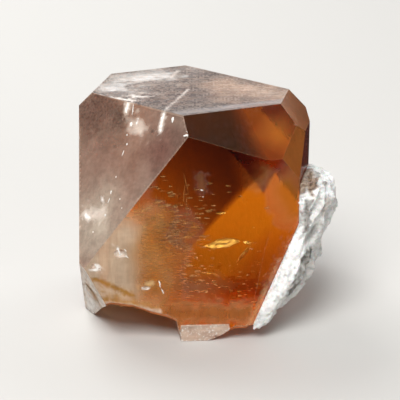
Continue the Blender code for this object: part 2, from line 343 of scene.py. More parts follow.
FACE_LOOKS: dict[FaceKind, FaceLook] = {
    FaceKind.BASAL: FaceLook(
        Skin("48362c", haze=0.56, etch=0.95, stain_and_shadow=0.3),
        (
            # painted sheen: this pale patch and the two after it are frost lightened to stand in for the
            # sheen of the light from behind on the left of the top face
            Patch(
                Skin("b2aeaa", haze=0.85, etch=1.0),
                (-12.0, 2.5, 29.7), 6.6, end=(-7.0, 7.5, 29.7), ragged=0.6,
            ),
            Patch(
                Skin("d6d4d2", haze=0.85, etch=1.0),
                (-12.8, 0.6, 29.7), 2.0, end=(-11.0, 1.6, 29.7), ragged=1.4,
            ),
            Patch(
                Skin("cac8c6", haze=0.85, etch=1.0),
                (-9.0, 5.2, 29.7), 2.2, end=(-5.5, 6.2, 29.7), ragged=1.4,
            ),
            Patch(
                Skin("6a5c54", haze=0.7, etch=0.9, stain_and_shadow=0.5),
                (-9.5, 2.6, 29.7), 1.8, end=(-7.0, 3.4, 29.7), ragged=1.4,
            ),
            # painted sheen: this patch and the next are frost lightened to stand in for the sheen on the
            # right of the top face
            Patch(
                Skin("a08068", haze=0.75, etch=0.9),
                (3.0, 1.5, 29.7), 6.5, end=(8.5, -2.5, 29.7), ragged=0.6,
            ),
            Patch(
                Skin("ac8e78", haze=0.78, etch=0.9),
                (4.5, 1.0, 29.7), 1.6, end=(9.5, -2.6, 29.7), ragged=1.4,
            ),
            Patch(Skin("7e7170", haze=0.66, etch=0.5), (-3.5, -9.8, 29.7), 1.3, end=(9.0, -4.9, 29.7)),
            Patch(WHITENED, (-12.4, -3.2, 29.7), 0.7, end=(-9.4, -4.4, 29.7), ragged=1.6),
            Patch(WHITENED, (-9.4, -2.6, 29.7), 1.0, end=(-8.0, -2.9, 29.7), ragged=1.6),
            Patch(SCRATCH, (-2.4, 0.1, 29.7), 0.3, end=(-5.2, -8.9, 29.7), ragged=0.9),
            Patch(SCRATCH, (-3.9, 9.0, 29.7), 0.5, end=(-4.7, 5.6, 29.7), ragged=0.9),
        ),
    ),
    FaceKind.DOME_FRONT_LEFT: FaceLook(
        Skin("947a6b", haze=0.66, etch=0.42),
        (
            Patch(Skin("745c50", haze=0.62, etch=0.62, stain_and_shadow=0.7), (-14.5, -2.4, 28.4), 6.5, ragged=0.5),
            Patch(Skin("6c5c50", haze=0.62, etch=0.62, stain_and_shadow=0.7), (-10.8, -5.4, 27.2), 3.6, ragged=0.6),
            # painted highlight: milky frost, lightened to stand in for the soft highlight on the lower part
            # of this face
            Patch(Skin("b8aa98", haze=0.74, etch=0.4), (-13.8, -11.2, 15.4), 9.5, ragged=0.5),
            Patch(Skin("846054", haze=0.6, etch=0.4), (-5.2, -11.6, 25.2), 4.6, ragged=0.5),
            Patch(Skin("3c2a24", haze=0.6, etch=0.6), (-11.6, -7.6, 24.6), 0.45, ragged=0.5),
            Patch(Skin("4c3a34", haze=0.6, etch=0.6), (-6.8, -9.6, 27.3), 0.4, ragged=0.5),
            Patch(HAZY, (-9.75, -5.2, 29.85), 0.8, end=(-10.1, -5.7, 28.5), ragged=0.8),
            Patch(HAZY, (-9.2, -7.4, 27.5), 1.5, end=(-8.3, -8.2, 27.1), ragged=0.8),
            Patch(HAZY, (-5.2, -9.1, 29.8), 0.6, end=(-5.7, -10.2, 27.4), ragged=0.8),
            Patch(HAZY, (-15.0, -10.1, 16.3), 1.3, end=(-12.8, -11.0, 17.0), ragged=0.8),
            Patch(BRUISE, (-9.7, -5.1, 29.9), 0.34, end=(-10.1, -5.68, 28.6), ragged=1.0),
            Patch(BRUISE, (-9.4, -7.1, 27.3), 0.36, ragged=1.0),
            Patch(BRUISE, (-8.6, -7.4, 28.1), 0.24, end=(-8.75, -7.6, 27.6), ragged=1.0),
            Patch(BRUISE, (-5.16, -9.14, 29.9), 0.22, end=(-5.5, -9.5, 28.8), ragged=1.0),
            Patch(BRUISE, (-5.5, -9.5, 28.8), 0.28, end=(-5.76, -10.2, 27.5), ragged=1.0),
            Patch(BRUISE, (-15.2, -10.0, 16.3), 0.4, end=(-14.8, -10.3, 16.0), ragged=1.0),
            Patch(BRUISE, (-13.1, -9.9, 18.6), 0.3, end=(-12.9, -10.3, 18.2), ragged=1.0),
        ),
    ),
    FaceKind.PRISM_FRONT: FaceLook(
        Skin("f0c48c", haze=0.0, etch=0.03),
        (
            Patch(
                Skin("e8a858", haze=0.2, etch=0.1),
                (-7.5, -13.3, 15.5), 5.4, end=(-6.0, -13.2, 8.0), ragged=0.8,
            ),
            Patch(
                Skin("cfbba0", haze=0.6, etch=0.2),
                (-12.6, -13.6, 15.2), 6.8, end=(-12.4, -13.6, 8.0), core=0.25, ragged=0.6,
            ),
            Patch(
                Skin("c89c50", haze=0.5, etch=0.3),
                (-12.6, -13.5, 6.2), 1.3, end=(-6.0, -13.2, 4.4), ragged=0.9,
            ),
            Patch(
                Skin("a87038", haze=0.5, etch=0.3),
                (-4.5, -13.2, 4.2), 2.0, end=(7.5, -12.4, 3.8), core=0.15, ragged=0.9,
            ),
            Patch(
                Skin("e0c8b4", haze=0.72, etch=0.4),
                (-12.6, -13.5, 5.9), 0.55, end=(-6.0, -13.2, 4.5), ragged=0.9,
            ),
            Patch(
                Skin("d0a070", haze=0.12, etch=0.15),
                (-0.9, -12.95, 22.6), 0.75, end=(-0.6, -12.9, 21.0), ragged=1.0,
            ),
            GOLDEN_GLOW,
            CONTACT_RIM,
            Patch(
                Skin("b88a3c", haze=0.5, etch=0.3),
                (-14.0, -13.6, 9.2), 0.6, end=(-9.3, -13.4, 6.8), ragged=1.0,
            ),
            Patch(
                Skin("e8c890", haze=0.6, etch=0.3),
                (-7.5, -13.3, 8.3), 0.6, end=(-6.9, -13.3, 8.5), ragged=0.6,
            ),
            Patch(Skin("e0bc80", haze=0.6, etch=0.3), (-8.5, -13.4, 7.9), 0.35, ragged=0.6),
            Patch(BRUISE, (-11.0, -13.5, 13.2), 0.45, end=(-10.7, -13.5, 12.4), ragged=1.2),
            Patch(BRUISE, (-10.4, -13.5, 12.4), 0.4, ragged=1.2),
            Patch(BRUISE, (-13.9, -13.6, 11.1), 0.4, end=(-13.6, -13.6, 10.9), ragged=1.2),
            Patch(BRUISE, (-14.4, -13.7, 10.4), 0.3, end=(-13.4, -13.6, 10.4), ragged=1.2),
        ),
    ),
    FaceKind.PYRAMID_FRONT_RIGHT: FaceLook(
        Skin("a87a54", haze=0.07, etch=0.1),
        # painted glow: the hazy orange patch stands in for the light shining through the right of this face
        (Patch(Skin("e8a048", haze=0.2, etch=0.12), (8.8, -9.4, 26.8), 4.4, ragged=0.4),),
    ),
    FaceKind.PYRAMID_RIGHT: FaceLook(Skin("a87448", haze=0.5, etch=0.5)),
    FaceKind.DOME_RIGHT: FaceLook(Skin("906a38", haze=0.34, etch=0.35)),
    FaceKind.PRISM_STRIP: FaceLook(Skin("f0c48c", haze=0.0, etch=0.04), (GOLDEN_GLOW, CONTACT_RIM)),
    FaceKind.PRISM_FRONT_RIGHT: FaceLook(Skin("f0c48c", haze=0.0, etch=0.05), (GOLDEN_GLOW, CONTACT_RIM)),
    FaceKind.PRISM_RIGHT: FaceLook(Skin("4a2410", haze=0.25, etch=0.3)),
    FaceKind.CLEAVAGE_BASE: FaceLook(Skin("c08850", haze=0.3, etch=0.8)),
    FaceKind.SEAM: FaceLook(Skin("d07828", haze=0.6, etch=0.5)),
    FaceKind.SEAM_STRIP: FaceLook(Skin("f0c48c", haze=0.0, etch=0.03), (GOLDEN_GLOW, CONTACT_RIM)),
    FaceKind.UNDERCUT: FaceLook(Skin("d0a478", haze=0.3, etch=0.6)),
    FaceKind.LEFT_BREAK: FaceLook(
        Skin("f4ece0", haze=0.85, etch=0.7, chip=0.6),
        (
            Patch(
                Skin("b89a64", haze=0.6, etch=0.4),
                (-14.9, -10.4, 6.6), 1.3, end=(-14.4, -10.4, 4.2), ragged=0.8,
            ),
            Patch(BRUISE, (-15.5, -4.8, 0.6), 1.3, end=(-15.2, -7.4, 3.0), core=0.3, ragged=0.8),
            Patch(BRUISE, (-15.8, -9.0, 7.4), 0.6, end=(-15.6, -8.0, 5.2), core=0.2, ragged=0.8),
        ),
    ),
    FaceKind.BREAK: FaceLook(Skin("d4c2ae", haze=0.75, etch=0.7, chip=0.45)),
}
BACK_LOOK = FaceLook(
    Skin("b08a62", haze=0.03, etch=0.6, stain_and_shadow=0.05),
    (
        Patch(BRUISE, (-6.6, 12.8, 26.9), 0.5, end=(-6.6, 12.8, 25.6), ragged=1.2),
        Patch(BRUISE, (-6.6, 12.8, 7.5), 0.45, end=(-6.5, 12.8, 5.8), ragged=1.2),
        Patch(BRUISE, (11.2, 13.7, 5.4), 0.5, end=(11.2, 13.7, 4.6), ragged=1.2),
        Patch(BRUISE, (-15.1, 9.4, 15.8), 0.45, end=(-15.1, 9.4, 13.0), ragged=1.2),
        Patch(BRUISE, (-16.6, 2.6, 3.2), 0.4, end=(-16.5, 2.9, 2.4), ragged=1.2),
        Patch(BRUISE, (3.6, 11.2, 21.0), 0.3, end=(4.2, 11.4, 20.4), ragged=1.2),
        Patch(
            Skin("c8a888", haze=0.45, etch=0.6),
            (-6.6, 12.8, 0.6), 1.4, end=(11.2, 13.7, 0.4), ragged=1.0,
        ),
        Patch(
            Skin("c8a888", haze=0.45, etch=0.6),
            (-16.5, 2.6, 0.4), 1.3, end=(-15.1, 9.4, 0.4), ragged=1.0,
        ),
    ),
)


@dataclass(frozen=True)
class TopazFinish:
    """Clear amber topaz: glassy growth faces, etched and broken faces that scatter light.

    A topaz face is as bright as glass where it is whole. Etching and breaking leave a pale, frosted
    skin, and the stone's own colour comes from the depth of stone that the light has crossed. Real
    etch pits are finer than the grain here, which is as coarse as it needs to be to show.
    """

    ior: float = 1.62
    absorption_hex: str = "fce000"
    absorption_density: float = 220.0
    clear_hex: str = "fffaf4"
    stain_hex: str = "4a3026"
    chip_hex: str = "f4efe8"
    grain_mm: float = 0.32
    mottle_mm: float = 2.6
    streak_width: float = 1.6  # times the grain
    streak_stretch: float = 7.0  # times its width
    streak_turn: float = 21.8  # degrees
    chip_bite: float = 1.8
    full_tone: float = 0.07  # haze at which the skin shows its tone alone
    bump_mm: float = 0.15

    def patterns(self, tree: bpy.types.NodeTree) -> dict[str, bpy.types.NodeSocket]:
        """Lay the uneven patterns of the skin in the stone's own space.

        Args:
            tree: Node tree of the material.

        Returns:
            The patterns by name: upright bands, growth streaks, broad mottling and fine grain.
        """
        place = add_node(tree, "ShaderNodeTexCoord").outputs["Object"]
        thin = 1.0 / self.streak_stretch
        streak_mm = self.grain_mm * self.streak_width
        across = {"Rotation": (0.0, 0.0, -math.radians(self.streak_turn)), "Scale": (thin, 1.0, 1.0)}
        found: dict[str, bpy.types.NodeSocket] = {}
        for name, size, detail, mapping in (
            ("bands", streak_mm, 3.0, {"Scale": (1.0, 1.0, thin)}),
            ("streaks", streak_mm, 4.0, across),
            ("mottle", self.mottle_mm, 4.0, None),
            ("grain", self.grain_mm, 3.0, None),
        ):
            spot = place
            if mapping:
                spot = add_node(tree, "ShaderNodeMapping", mapping, {"Vector": place}).outputs[0]
            found[name] = add_node(
                tree, "ShaderNodeTexNoise",
                {"Scale": 1.0 / mm(size), "Detail": detail, "Roughness": 0.6}, {"Vector": spot},
            ).outputs["Fac"]
        return found

    def patchy_haze(
        self,
        tree: bpy.types.NodeTree,
        patterns: dict[str, bpy.types.NodeSocket],
        even_haze: bpy.types.NodeSocket,
    ) -> bpy.types.NodeSocket:
        """Let the haze come and go over the face.

        Args:
            tree: Node tree of the material.
            patterns: Patterns of the skin.
            even_haze: Haze painted on the mesh.

        Returns:
            The uneven haze.
        """
        veiled = add_node(
            tree, "ShaderNodeMath", {"operation": "ADD"}, {0: patterns["mottle"], 1: patterns["bands"]}
        ).outputs[0]
        patchy = add_node(
            tree, "ShaderNodeMapRange",
            {"From Min": 0.78, "From Max": 1.22, "To Min": 0.86, "To Max": 1.12}, {"Value": veiled},
        ).outputs[0]
        return add_node(
            tree, "ShaderNodeMath", {"operation": "MULTIPLY", "use_clamp": True}, {0: even_haze, 1: patchy}
        ).outputs[0]

    def ragged_chips(
        self, tree: bpy.types.NodeTree, grain: bpy.types.NodeSocket, even_chip: bpy.types.NodeSocket
    ) -> bpy.types.NodeSocket:
        """Break the bruises up into white grains.

        Args:
            tree: Node tree of the material.
            grain: Fine grain pattern.
            even_chip: Chip share painted on the mesh.

        Returns:
            The chips, 1 where the stone is bruised white.
        """
        bitten = add_node(
            tree, "ShaderNodeMath",
            {"operation": "MULTIPLY_ADD", 1: self.chip_bite, 2: -0.5 * self.chip_bite}, {0: grain},
        ).outputs[0]
        level = add_node(tree, "ShaderNodeMath", {"operation": "ADD"}, {0: even_chip, 1: bitten}).outputs[0]
        return add_node(
            tree, "ShaderNodeMapRange", {"From Min": 0.54, "From Max": 0.72}, {"Value": level}
        ).outputs[0]

    def shaded_tone(
        self,
        tree: bpy.types.NodeTree,
        patterns: dict[str, bpy.types.NodeSocket],
        etch: bpy.types.NodeSocket,
    ) -> bpy.types.NodeSocket:
        """Shade the painted tone lighter and darker where the face is etched.

        Args:
            tree: Node tree of the material.
            patterns: Patterns of the skin.
            etch: Etch share painted on the mesh.

        Returns:
            The tone.
        """
        tone = add_node(tree, "ShaderNodeAttribute", {"attribute_name": "tone"}).outputs["Color"]
        rub = add_node(
            tree, "ShaderNodeMath", {"operation": "ADD"}, {0: patterns["streaks"], 1: patterns["mottle"]}
        ).outputs[0]
        shade = add_node(
            tree, "ShaderNodeMapRange",
            {"From Min": 0.75, "From Max": 1.25, "To Min": 0.62, "To Max": 1.3}, {"Value": rub},
        ).outputs[0]
        vary = add_node(
            tree, "ShaderNodeMix", {"data_type": "FLOAT", 2: 1.0}, {0: etch, 3: shade}
        ).outputs[0]
        return add_node(
            tree, "ShaderNodeVectorMath", {"operation": "SCALE"}, {0: tone, "Scale": vary}
        ).outputs[0]

    def material(self) -> bpy.types.Material:
        """Build the material, read from the mesh's finish attribute: haze, etch, stain and chip.

        Returns:
            The material.
        """
        material, tree = new_material("topaz_amber_clear")
        patterns = self.patterns(tree)
        finish = add_node(tree, "ShaderNodeAttribute", {"attribute_name": "finish"})
        split = add_node(tree, "ShaderNodeSeparateColor", links={0: finish.outputs["Color"]})
        even_haze, etch, stain_and_shadow = (split.outputs[name] for name in ("Red", "Green", "Blue"))
        haze = self.patchy_haze(tree, patterns, even_haze)
        chip = self.ragged_chips(tree, patterns["grain"], finish.outputs["Alpha"])
        toned = self.shaded_tone(tree, patterns, etch)
        speck = add_node(
            tree, "ShaderNodeMapRange", {"From Min": 0.47, "From Max": 0.62}, {"Value": patterns["grain"]}
        ).outputs[0]
        specks = add_node(tree, "ShaderNodeMath", {"operation": "MULTIPLY"}, {0: speck, 1: stain_and_shadow}).outputs[0]
        tinted = add_node(
            tree, "ShaderNodeMapRange", {"From Min": 0.0, "From Max": self.full_tone}, {"Value": haze}
        ).outputs[0]
        hazed = add_node(
            tree, "ShaderNodeMix", {"data_type": "RGBA", 6: linear(self.clear_hex)}, {0: tinted, 7: toned}
        ).outputs[2]
        stained = add_node(
            tree, "ShaderNodeMix", {"data_type": "RGBA", 7: linear(self.stain_hex)}, {0: specks, 6: hazed}
        ).outputs[2]
        chipped = add_node(
            tree, "ShaderNodeMix", {"data_type": "RGBA", 7: linear(self.chip_hex)}, {0: chip, 6: stained}
        ).outputs[2]
        dull = add_node(tree, "ShaderNodeMath", {"operation": "MAXIMUM"}, {0: haze, 1: chip}).outputs[0]
        scatter = add_node(tree, "ShaderNodeMath", {"operation": "MAXIMUM"}, {0: dull, 1: specks}).outputs[0]
        through = add_node(
            tree, "ShaderNodeMath", {"operation": "SUBTRACT", 0: 1.0}, {1: scatter}
        ).outputs[0]
        roughness = add_node(
            tree, "ShaderNodeMapRange",
            {"From Min": 0.0, "From Max": 1.0, "To Min": 0.02, "To Max": 0.6}, {"Value": etch},
        ).outputs[0]
        height = add_node(
            tree, "ShaderNodeMath", {"operation": "MULTIPLY_ADD", 1: 0.5},
            {0: patterns["grain"], 2: patterns["bands"]},
        ).outputs[0]
        bump = add_node(
            tree, "ShaderNodeBump", {"Distance": mm(self.bump_mm)}, {"Height": height, "Strength": etch}
        ).outputs[0]
        shader = add_node(
            tree, "ShaderNodeBsdfPrincipled", {"IOR": self.ior, "Metallic": 0.0},
            {"Base Color": chipped, "Roughness": roughness, "Transmission Weight": through, "Normal": bump},
        )
        depth = add_node(
            tree, "ShaderNodeVolumeAbsorption",
            {"Color": linear(self.absorption_hex), "Density": self.absorption_density},
        )
        add_node(
            tree, "ShaderNodeOutputMaterial",
            links={"Surface": shader.outputs[0], "Volume": depth.outputs[0]},
        )
        return material


@dataclass(frozen=True)
class Relief:
    """Shallow relief of a growth or broken face: swells, with finer ones on them, in millimetres."""

    depth: float
    swell: float
    gain: float = 0.7
    fine: float = 1.0
    fine_share: float = 0.0
    height: float = 1.0  # of a swell, times its width

    def at(self, place: Vector) -> float:
        """How deep a place lies under the flat face.

        Args:
            place: Position in millimetres.

        Returns:
            The depth in millimetres.
        """
        spot = Vector((place.x, place.y, place.z / self.height))
        level = noise.noise(spot / self.swell) + self.fine_share * noise.noise(spot / self.fine)
        return self.depth * max(0.0, 0.5 + self.gain * level)


@dataclass(frozen=True)
class EtchedRelief:
    """Etched relief of the top face: swells, growth streaks and grains, in millimetres."""

    depth: float = 0.15
    swell: float = 2.6
    streak: float = 0.7
    streak_share: float = 1.1
    streak_stretch: float = 5.0
    streak_turn: float = 21.8  # degrees
    grain: float = 0.45
    grain_share: float = 0.7

    def at(self, place: Vector) -> float:
        """How deep a place lies under the flat face.

        Args:
            place: Position in millimetres.

        Returns:
            The depth in millimetres.
        """
        turned = Matrix.Rotation(math.radians(-self.streak_turn), 3, "Z") @ place
        streaked = Vector((turned.x / self.streak_stretch, turned.y, 0.0))
        level = noise.noise(place / self.swell) + self.streak_share * noise.noise(streaked / self.streak)
        level += self.grain_share * noise.noise(place / self.grain)
        return self.depth * max(0.0, 0.55 + 0.5 * level)


RELIEFS: dict[FaceKind, Relief | EtchedRelief] = {
    FaceKind.BASAL: EtchedRelief(),
    FaceKind.DOME_FRONT_LEFT: Relief(0.05, 3.0, gain=0.6, fine=0.8, fine_share=0.4),
    FaceKind.PRISM_FRONT: Relief(0.012, 0.8, height=9.0),
    FaceKind.LEFT_BREAK: Relief(0.22, 1.6, fine=0.5, fine_share=0.6),
}
PLAIN_RELIEF = Relief(0.01, 2.0)


@dataclass
class TopazBody:
    """The crystal itself, cut finer than its CAD solid so that its faces carry real relief."""

    finish: TopazFinish = field(default_factory=TopazFinish)
    joined_turn: float = 0.3  # degrees below which the CAD triangles are one face
    edge_wear: float = 0.13
    worn_length: float = 1.0
    worn_turn: float = 14.0  # degrees
    flat_match: float = 2.5  # degrees between a face and its family
    smallest_face: float = 1.2  # square millimetres
    sliver: float = 0.002  # square millimetres
    plane_match: float = 0.01
    cut_match: float = 0.0001
    undercut_tilt: float = -0.3
    break_passes: int = 2
    break_grain: float = 0.45
    break_depth: float = 0.12
    break_swell: float = 1.1
    break_fine: float = 0.4
    rim_turn: float = 20.0  # degrees
    worn_share: float = 0.28
    rim_share: float = 0.7
    grid: dict[FaceKind, float] = field(
        default_factory=lambda: {
            FaceKind.BASAL: 0.22,
            FaceKind.DOME_FRONT_LEFT: 0.22,
            FaceKind.PRISM_FRONT: 0.3,
            FaceKind.PYRAMID_FRONT_RIGHT: 0.5,
            FaceKind.PRISM_STRIP: 0.4,
            FaceKind.PRISM_FRONT_RIGHT: 0.4,
            FaceKind.PRISM_BACK_RIGHT: 0.45,
            FaceKind.PRISM_BACK: 0.4,
            FaceKind.PRISM_LEFT_BACK: 0.4,
            FaceKind.PRISM_LEFT: 0.4,
            FaceKind.DOME_BACK_RIGHT: 0.45,
            FaceKind.SEAM_STRIP: 0.3,
            FaceKind.LEFT_BREAK: 0.25,
        }
    )

    def on_plane(self, face: bmesh.types.BMFace, kind: FaceKind) -> bool:
        """Whether all corners of a face lie on a family's plane."""
        level, limit = reach_of(kind), mm(self.plane_match)
        return all(abs(vertex.co.dot(kind.direction) - level) < limit for vertex in face.verts)

    def kind_of(self, face: bmesh.types.BMFace) -> FaceKind:
        """Find a face's family by its plane, or else by its direction and size.

        Args:
            face: Face of the joined CAD mesh.

        Returns:
            The family.
        """
        whole = [kind for kind in FaceKind if kind not in BROKEN]
        for kind in whole:
            if self.on_plane(face, kind):
                return kind
        broken = FaceKind.UNDERCUT if face.normal.z < self.undercut_tilt else FaceKind.BREAK
        if face.calc_area() < square_mm(self.smallest_face):
            return broken
        for kind in whole:
            if face.normal.angle(kind.direction) < math.radians(self.flat_match):
                return kind
        return broken

    def sort_faces(self, data: bmesh.types.BMesh) -> None:
        """Store each face's family on the mesh, as its place in KINDS.

        Args:
            data: The crystal's mesh.
        """
        layer = data.faces.layers.int.new("kind")
        for face in data.faces:
            face[layer] = KINDS.index(self.kind_of(face))

    def wear_edges(self, data: bmesh.types.BMesh) -> None:
        """Round the long edges between growth faces very slightly.

        Args:
            data: The crystal's mesh.
        """
        layer = data.faces.layers.int["kind"]
        edges = [
            edge
            for edge in data.edges
            if len(edge.link_faces) == 2
            and edge.calc_length() > mm(self.worn_length)
            and all(face[layer] not in BROKEN_INDEXES for face in edge.link_faces)
            and edge.calc_face_angle() > math.radians(self.worn_turn)
        ]
        bmesh.ops.bevel(
            data, geom=edges, offset=mm(self.edge_wear), offset_type="OFFSET", segments=2, profile=0.5,
            affect="EDGES", clamp_overlap=True, material=-1,
        )

    def flat_faces(self, data: bmesh.types.BMesh, kind: FaceKind) -> list[bmesh.types.BMFace]:
        """Find the faces of one family, slivers included, without the worn strips beside them.

        Args:
            data: The crystal's mesh.
            kind: The family.

        Returns:
            Its faces.
        """
        layer = data.faces.layers.int["kind"]
        index = KINDS.index(kind)
        limit = math.radians(self.flat_match)
        return [
            face for face in data.faces
            if face[layer] == index
            and (face.calc_area() < square_mm(self.sliver) or face.normal.angle(kind.direction, 0.0) < limit)
        ]

    def cut_grid(self, data: bmesh.types.BMesh, kind: FaceKind, spacing: float) -> None:
        """Slice one flat family into a fine grid.

        Args:
            data: The crystal's mesh.
            kind: The family.
            spacing: Distance between the slices, in millimetres.
        """
        normal = kind.direction
        level_face = abs(normal.z) > 0.9
        across = Vector((1.0, 0.0, 0.0)) if level_face else Vector((0, 0, 1)).cross(normal).normalized()
        along = normal.cross(across).normalized()
        for axis in (across, along):
            faces = self.flat_faces(data, kind)
            reaches = [vertex.co.dot(axis) for face in faces for vertex in face.verts]
            low, high = min(reaches), max(reaches)
            count = int((high - low) / mm(spacing))
            for step in range(1, count):
                level = low + (high - low) * step / count
                geometry = {part for face in faces for part in (face, *face.edges, *face.verts)}
                cut = bmesh.ops.bisect_plane(
                    data, geom=list(geometry), dist=mm(self.cut_match), plane_co=axis * level, plane_no=axis
                )
                faces = [
                    part for part in cut["geom"]
                    if isinstance(part, bmesh.types.BMFace) and part.calc_center_median().dot(axis) > level
                ]

    def sink_relief(self, data: bmesh.types.BMesh, kind: FaceKind) -> None:
        """Sink the inner vertices of a gridded family by its relief.

        Args:
            data: The crystal's mesh.
            kind: The family.
        """
        data.normal_update()
        relief = RELIEFS.get(kind, PLAIN_RELIEF)
        faces = set(self.flat_faces(data, kind))
        inner = {
            vertex for face in faces for vertex in face.verts
            if all(other in faces for other in vertex.link_faces)
        }
        for vertex in inner:
            vertex.co -= kind.direction * mm(relief.at(vertex.co / mm(1.0)))

    def roughen_breaks(self, data: bmesh.types.BMesh) -> None:
        """Cut the broken faces finer and sink them unevenly, as stone breaks.

        Args:
            data: The crystal's mesh.
        """
        layer = data.faces.layers.int["kind"]
        for _ in range(self.break_passes):
            faces = [face for face in data.faces if face[layer] in BROKEN_INDEXES]
            bmesh.ops.triangulate(data, faces=faces)
            faces = [face for face in data.faces if face[layer] in BROKEN_INDEXES]
            edges = {
                edge for face in faces for edge in face.edges
                if edge.calc_length() > mm(self.break_grain)
                and all(other[layer] in BROKEN_INDEXES for other in edge.link_faces)
            }
            bmesh.ops.subdivide_edges(data, edges=list(edges), cuts=1, use_grid_fill=True)
        data.normal_update()
        inner = [
            vertex for vertex in data.verts
            if all(face[layer] in BROKEN_INDEXES for face in vertex.link_faces)
        ]
        moves = [(vertex, vertex.normal.copy(), vertex.co / mm(1.0)) for vertex in inner]
        for vertex, outward, place in moves:
            level = noise.noise(place / self.break_swell) + 0.5 * noise.noise(place / self.break_fine)
            vertex.co -= outward * mm(self.break_depth) * max(0.0, 0.5 + 0.7 * level)

    def is_rim(self, vertex: bmesh.types.BMVert, layer: bmesh.types.BMLayerItem) -> bool:
        """Whether a vertex lies on a sharp edge between a growth face and a broken one.

        Args:
            vertex: Vertex of the crystal's mesh.
            layer: Layer that holds each face's place in KINDS.

        Returns:
            True on such an edge.
        """
        return any(
            len(edge.link_faces) == 2
            and len({face[layer] in BROKEN_INDEXES for face in edge.link_faces}) == 2
            and edge.calc_face_angle() > math.radians(self.rim_turn)
            for edge in vertex.link_edges
        )

    def is_worn(self, face: bmesh.types.BMFace, kind: FaceKind) -> bool:
        """Whether a face is one of the narrow strips of a worn edge.

        Args:
            face: Face of the crystal's mesh.
            kind: Its family.

        Returns:
            True on such a strip.
        """
        limit = math.radians(self.flat_match * 2.0)
        turned = kind not in BROKEN and face.normal.angle(kind.direction) > limit
        return turned and min(edge.calc_length() for edge in face.edges) < mm(self.edge_wear * 2.0)

    def paint(self, data: bmesh.types.BMesh) -> None:
        """Write the tone and the four shares on every face corner.

        Args:
            data: The crystal's mesh.
        """
        layer = data.faces.layers.int["kind"]
        finish = data.loops.layers.float_color.new("finish")
        tones = data.loops.layers.float_color.new("tone")
        rims = {vertex.index for vertex in data.verts if self.is_rim(vertex, layer)}
        known: dict[tuple[int, int, bool], tuple[Vector, Vector]] = {}
        for face in data.faces:
            kind = KINDS[face[layer]]
            look = FACE_LOOKS.get(kind, BACK_LOOK)
            worn = self.is_worn(face, kind)
            rimmed = rims if kind in self.grid else set()
            for loop in face.loops:
                key = (loop.vert.index, face[layer], worn)
                if key not in known:
                    tone, shares = look.at(loop.vert.co / mm(1.0))
                    share = self.worn_share if worn else self.rim_share if loop.vert.index in rimmed else 0.0
                    tone = tone.lerp(Vector(linear(WORN.tone)), share)
                    known[key] = tone, shares.lerp(WORN.shares(), share)
                loop[tones], loop[finish] = known[key]

    def build(self) -> bpy.types.Object:
        """Make the crystal and let it stand for its CAD node.

        Returns:
            The finished piece.
        """
        data = merged_copy(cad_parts["topaz_crystal"])
        bmesh.ops.dissolve_limit(
            data, angle_limit=math.radians(self.joined_turn), verts=data.verts, edges=data.edges,
            use_dissolve_boundaries=False,
        )
        data.normal_update()
        self.sort_faces(data)
        self.wear_edges(data)
        data.normal_update()
        for kind, spacing in self.grid.items():
            self.cut_grid(data, kind, spacing)
            self.sink_relief(data, kind)
        self.roughen_breaks(data)
        data.verts.index_update()
        self.paint(data)
        piece = finish_piece("topaz_body", data, self.finish.material(), sharp_angle=16.0)
        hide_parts("topaz_crystal")
        return piece


@dataclass(frozen=True)
class ZoneFinish:
    """A zone inside the stone whose depth colours the light that crosses it. One of them is painted shade:
    a dark zone that stands in for the dark surroundings seen through the clear stone.
    """

    name: str
    absorption_hex: str
    absorption_density: float

    def material(self) -> bpy.types.Material:
        """Build the material: no surface of its own, only the colour of its depth.

        Returns:
            The material.
        """
        material, tree = new_material(self.name)
        shader = add_node(
            tree, "ShaderNodeBsdfPrincipled",
            {"Base Color": linear("ffffff"), "IOR": 1.0, "Roughness": 0.0, "Transmission Weight": 1.0},
        )
        depth = add_node(
            tree, "ShaderNodeVolumeAbsorption",
            {"Color": linear(self.absorption_hex), "Density": self.absorption_density},
        )
        add_node(
            tree, "ShaderNodeOutputMaterial",
            links={"Surface": shader.outputs[0], "Volume": depth.outputs[0]},
        )
        return material


@dataclass(frozen=True)
class Wall:
    """A flat wall of a colour zone: the zone lies on the side away from facing."""

    point: Point
    facing: Point


@dataclass
class ColorZone:
    """A closed zone inside the crystal, bounded by its growth faces and by walls of its own."""

    name: str
    finish: ZoneFinish
    walls: tuple[Wall, ...]
    block: float = 80.0
    block_middle: Point = (0.0, 0.0, 15.0)
    skin: float = 0.35
    cut_match: float = 0.0005
    soft_edge: float = 0.7

    def growth_walls(self) -> list[tuple[Vector, Vector]]:
        """Find the crystal's growth faces, moved in by the skin.

        Returns:
            A point and a direction of each, in metres.
        """
        left_out = (*BROKEN, FaceKind.CLEAVAGE_BASE, FaceKind.LEFT_BREAK)
        kinds = [kind for kind in FaceKind if kind not in left_out]
        return [(kind.direction * (reach_of(kind) - mm(self.skin)), kind.direction) for kind in kinds]

    def build(self) -> bpy.types.Object:
        """Cut the zone from a block, soften its edges and hand it over.

        Returns:
            The finished piece.
        """
        data = bmesh.new()
        middle = Matrix.Translation(mm_vector(self.block_middle))
        bmesh.ops.create_cube(data, size=mm(self.block), matrix=middle)
        own = [(mm_vector(wall.point), Vector(wall.facing).normalized()) for wall in self.walls]
        for point, facing in self.growth_walls() + own:
            geometry = data.verts[:] + data.edges[:] + data.faces[:]
            cut = bmesh.ops.bisect_plane(
                data, geom=geometry, dist=mm(self.cut_match), plane_co=point, plane_no=facing,
                clear_outer=True,
            )
            rim = [part for part in cut["geom_cut"] if isinstance(part, bmesh.types.BMEdge)]
            if rim:
                bmesh.ops.edgeloop_fill(data, edges=rim)
        bmesh.ops.bevel(
            data, geom=data.edges[:], offset=mm(self.soft_edge), offset_type="OFFSET", segments=3,
            profile=0.5, affect="EDGES", clamp_overlap=True, material=-1,
        )
        bmesh.ops.recalc_face_normals(data, faces=data.faces)
        return finish_piece(self.name, data, self.finish.material(), sharp_angle=30.0)


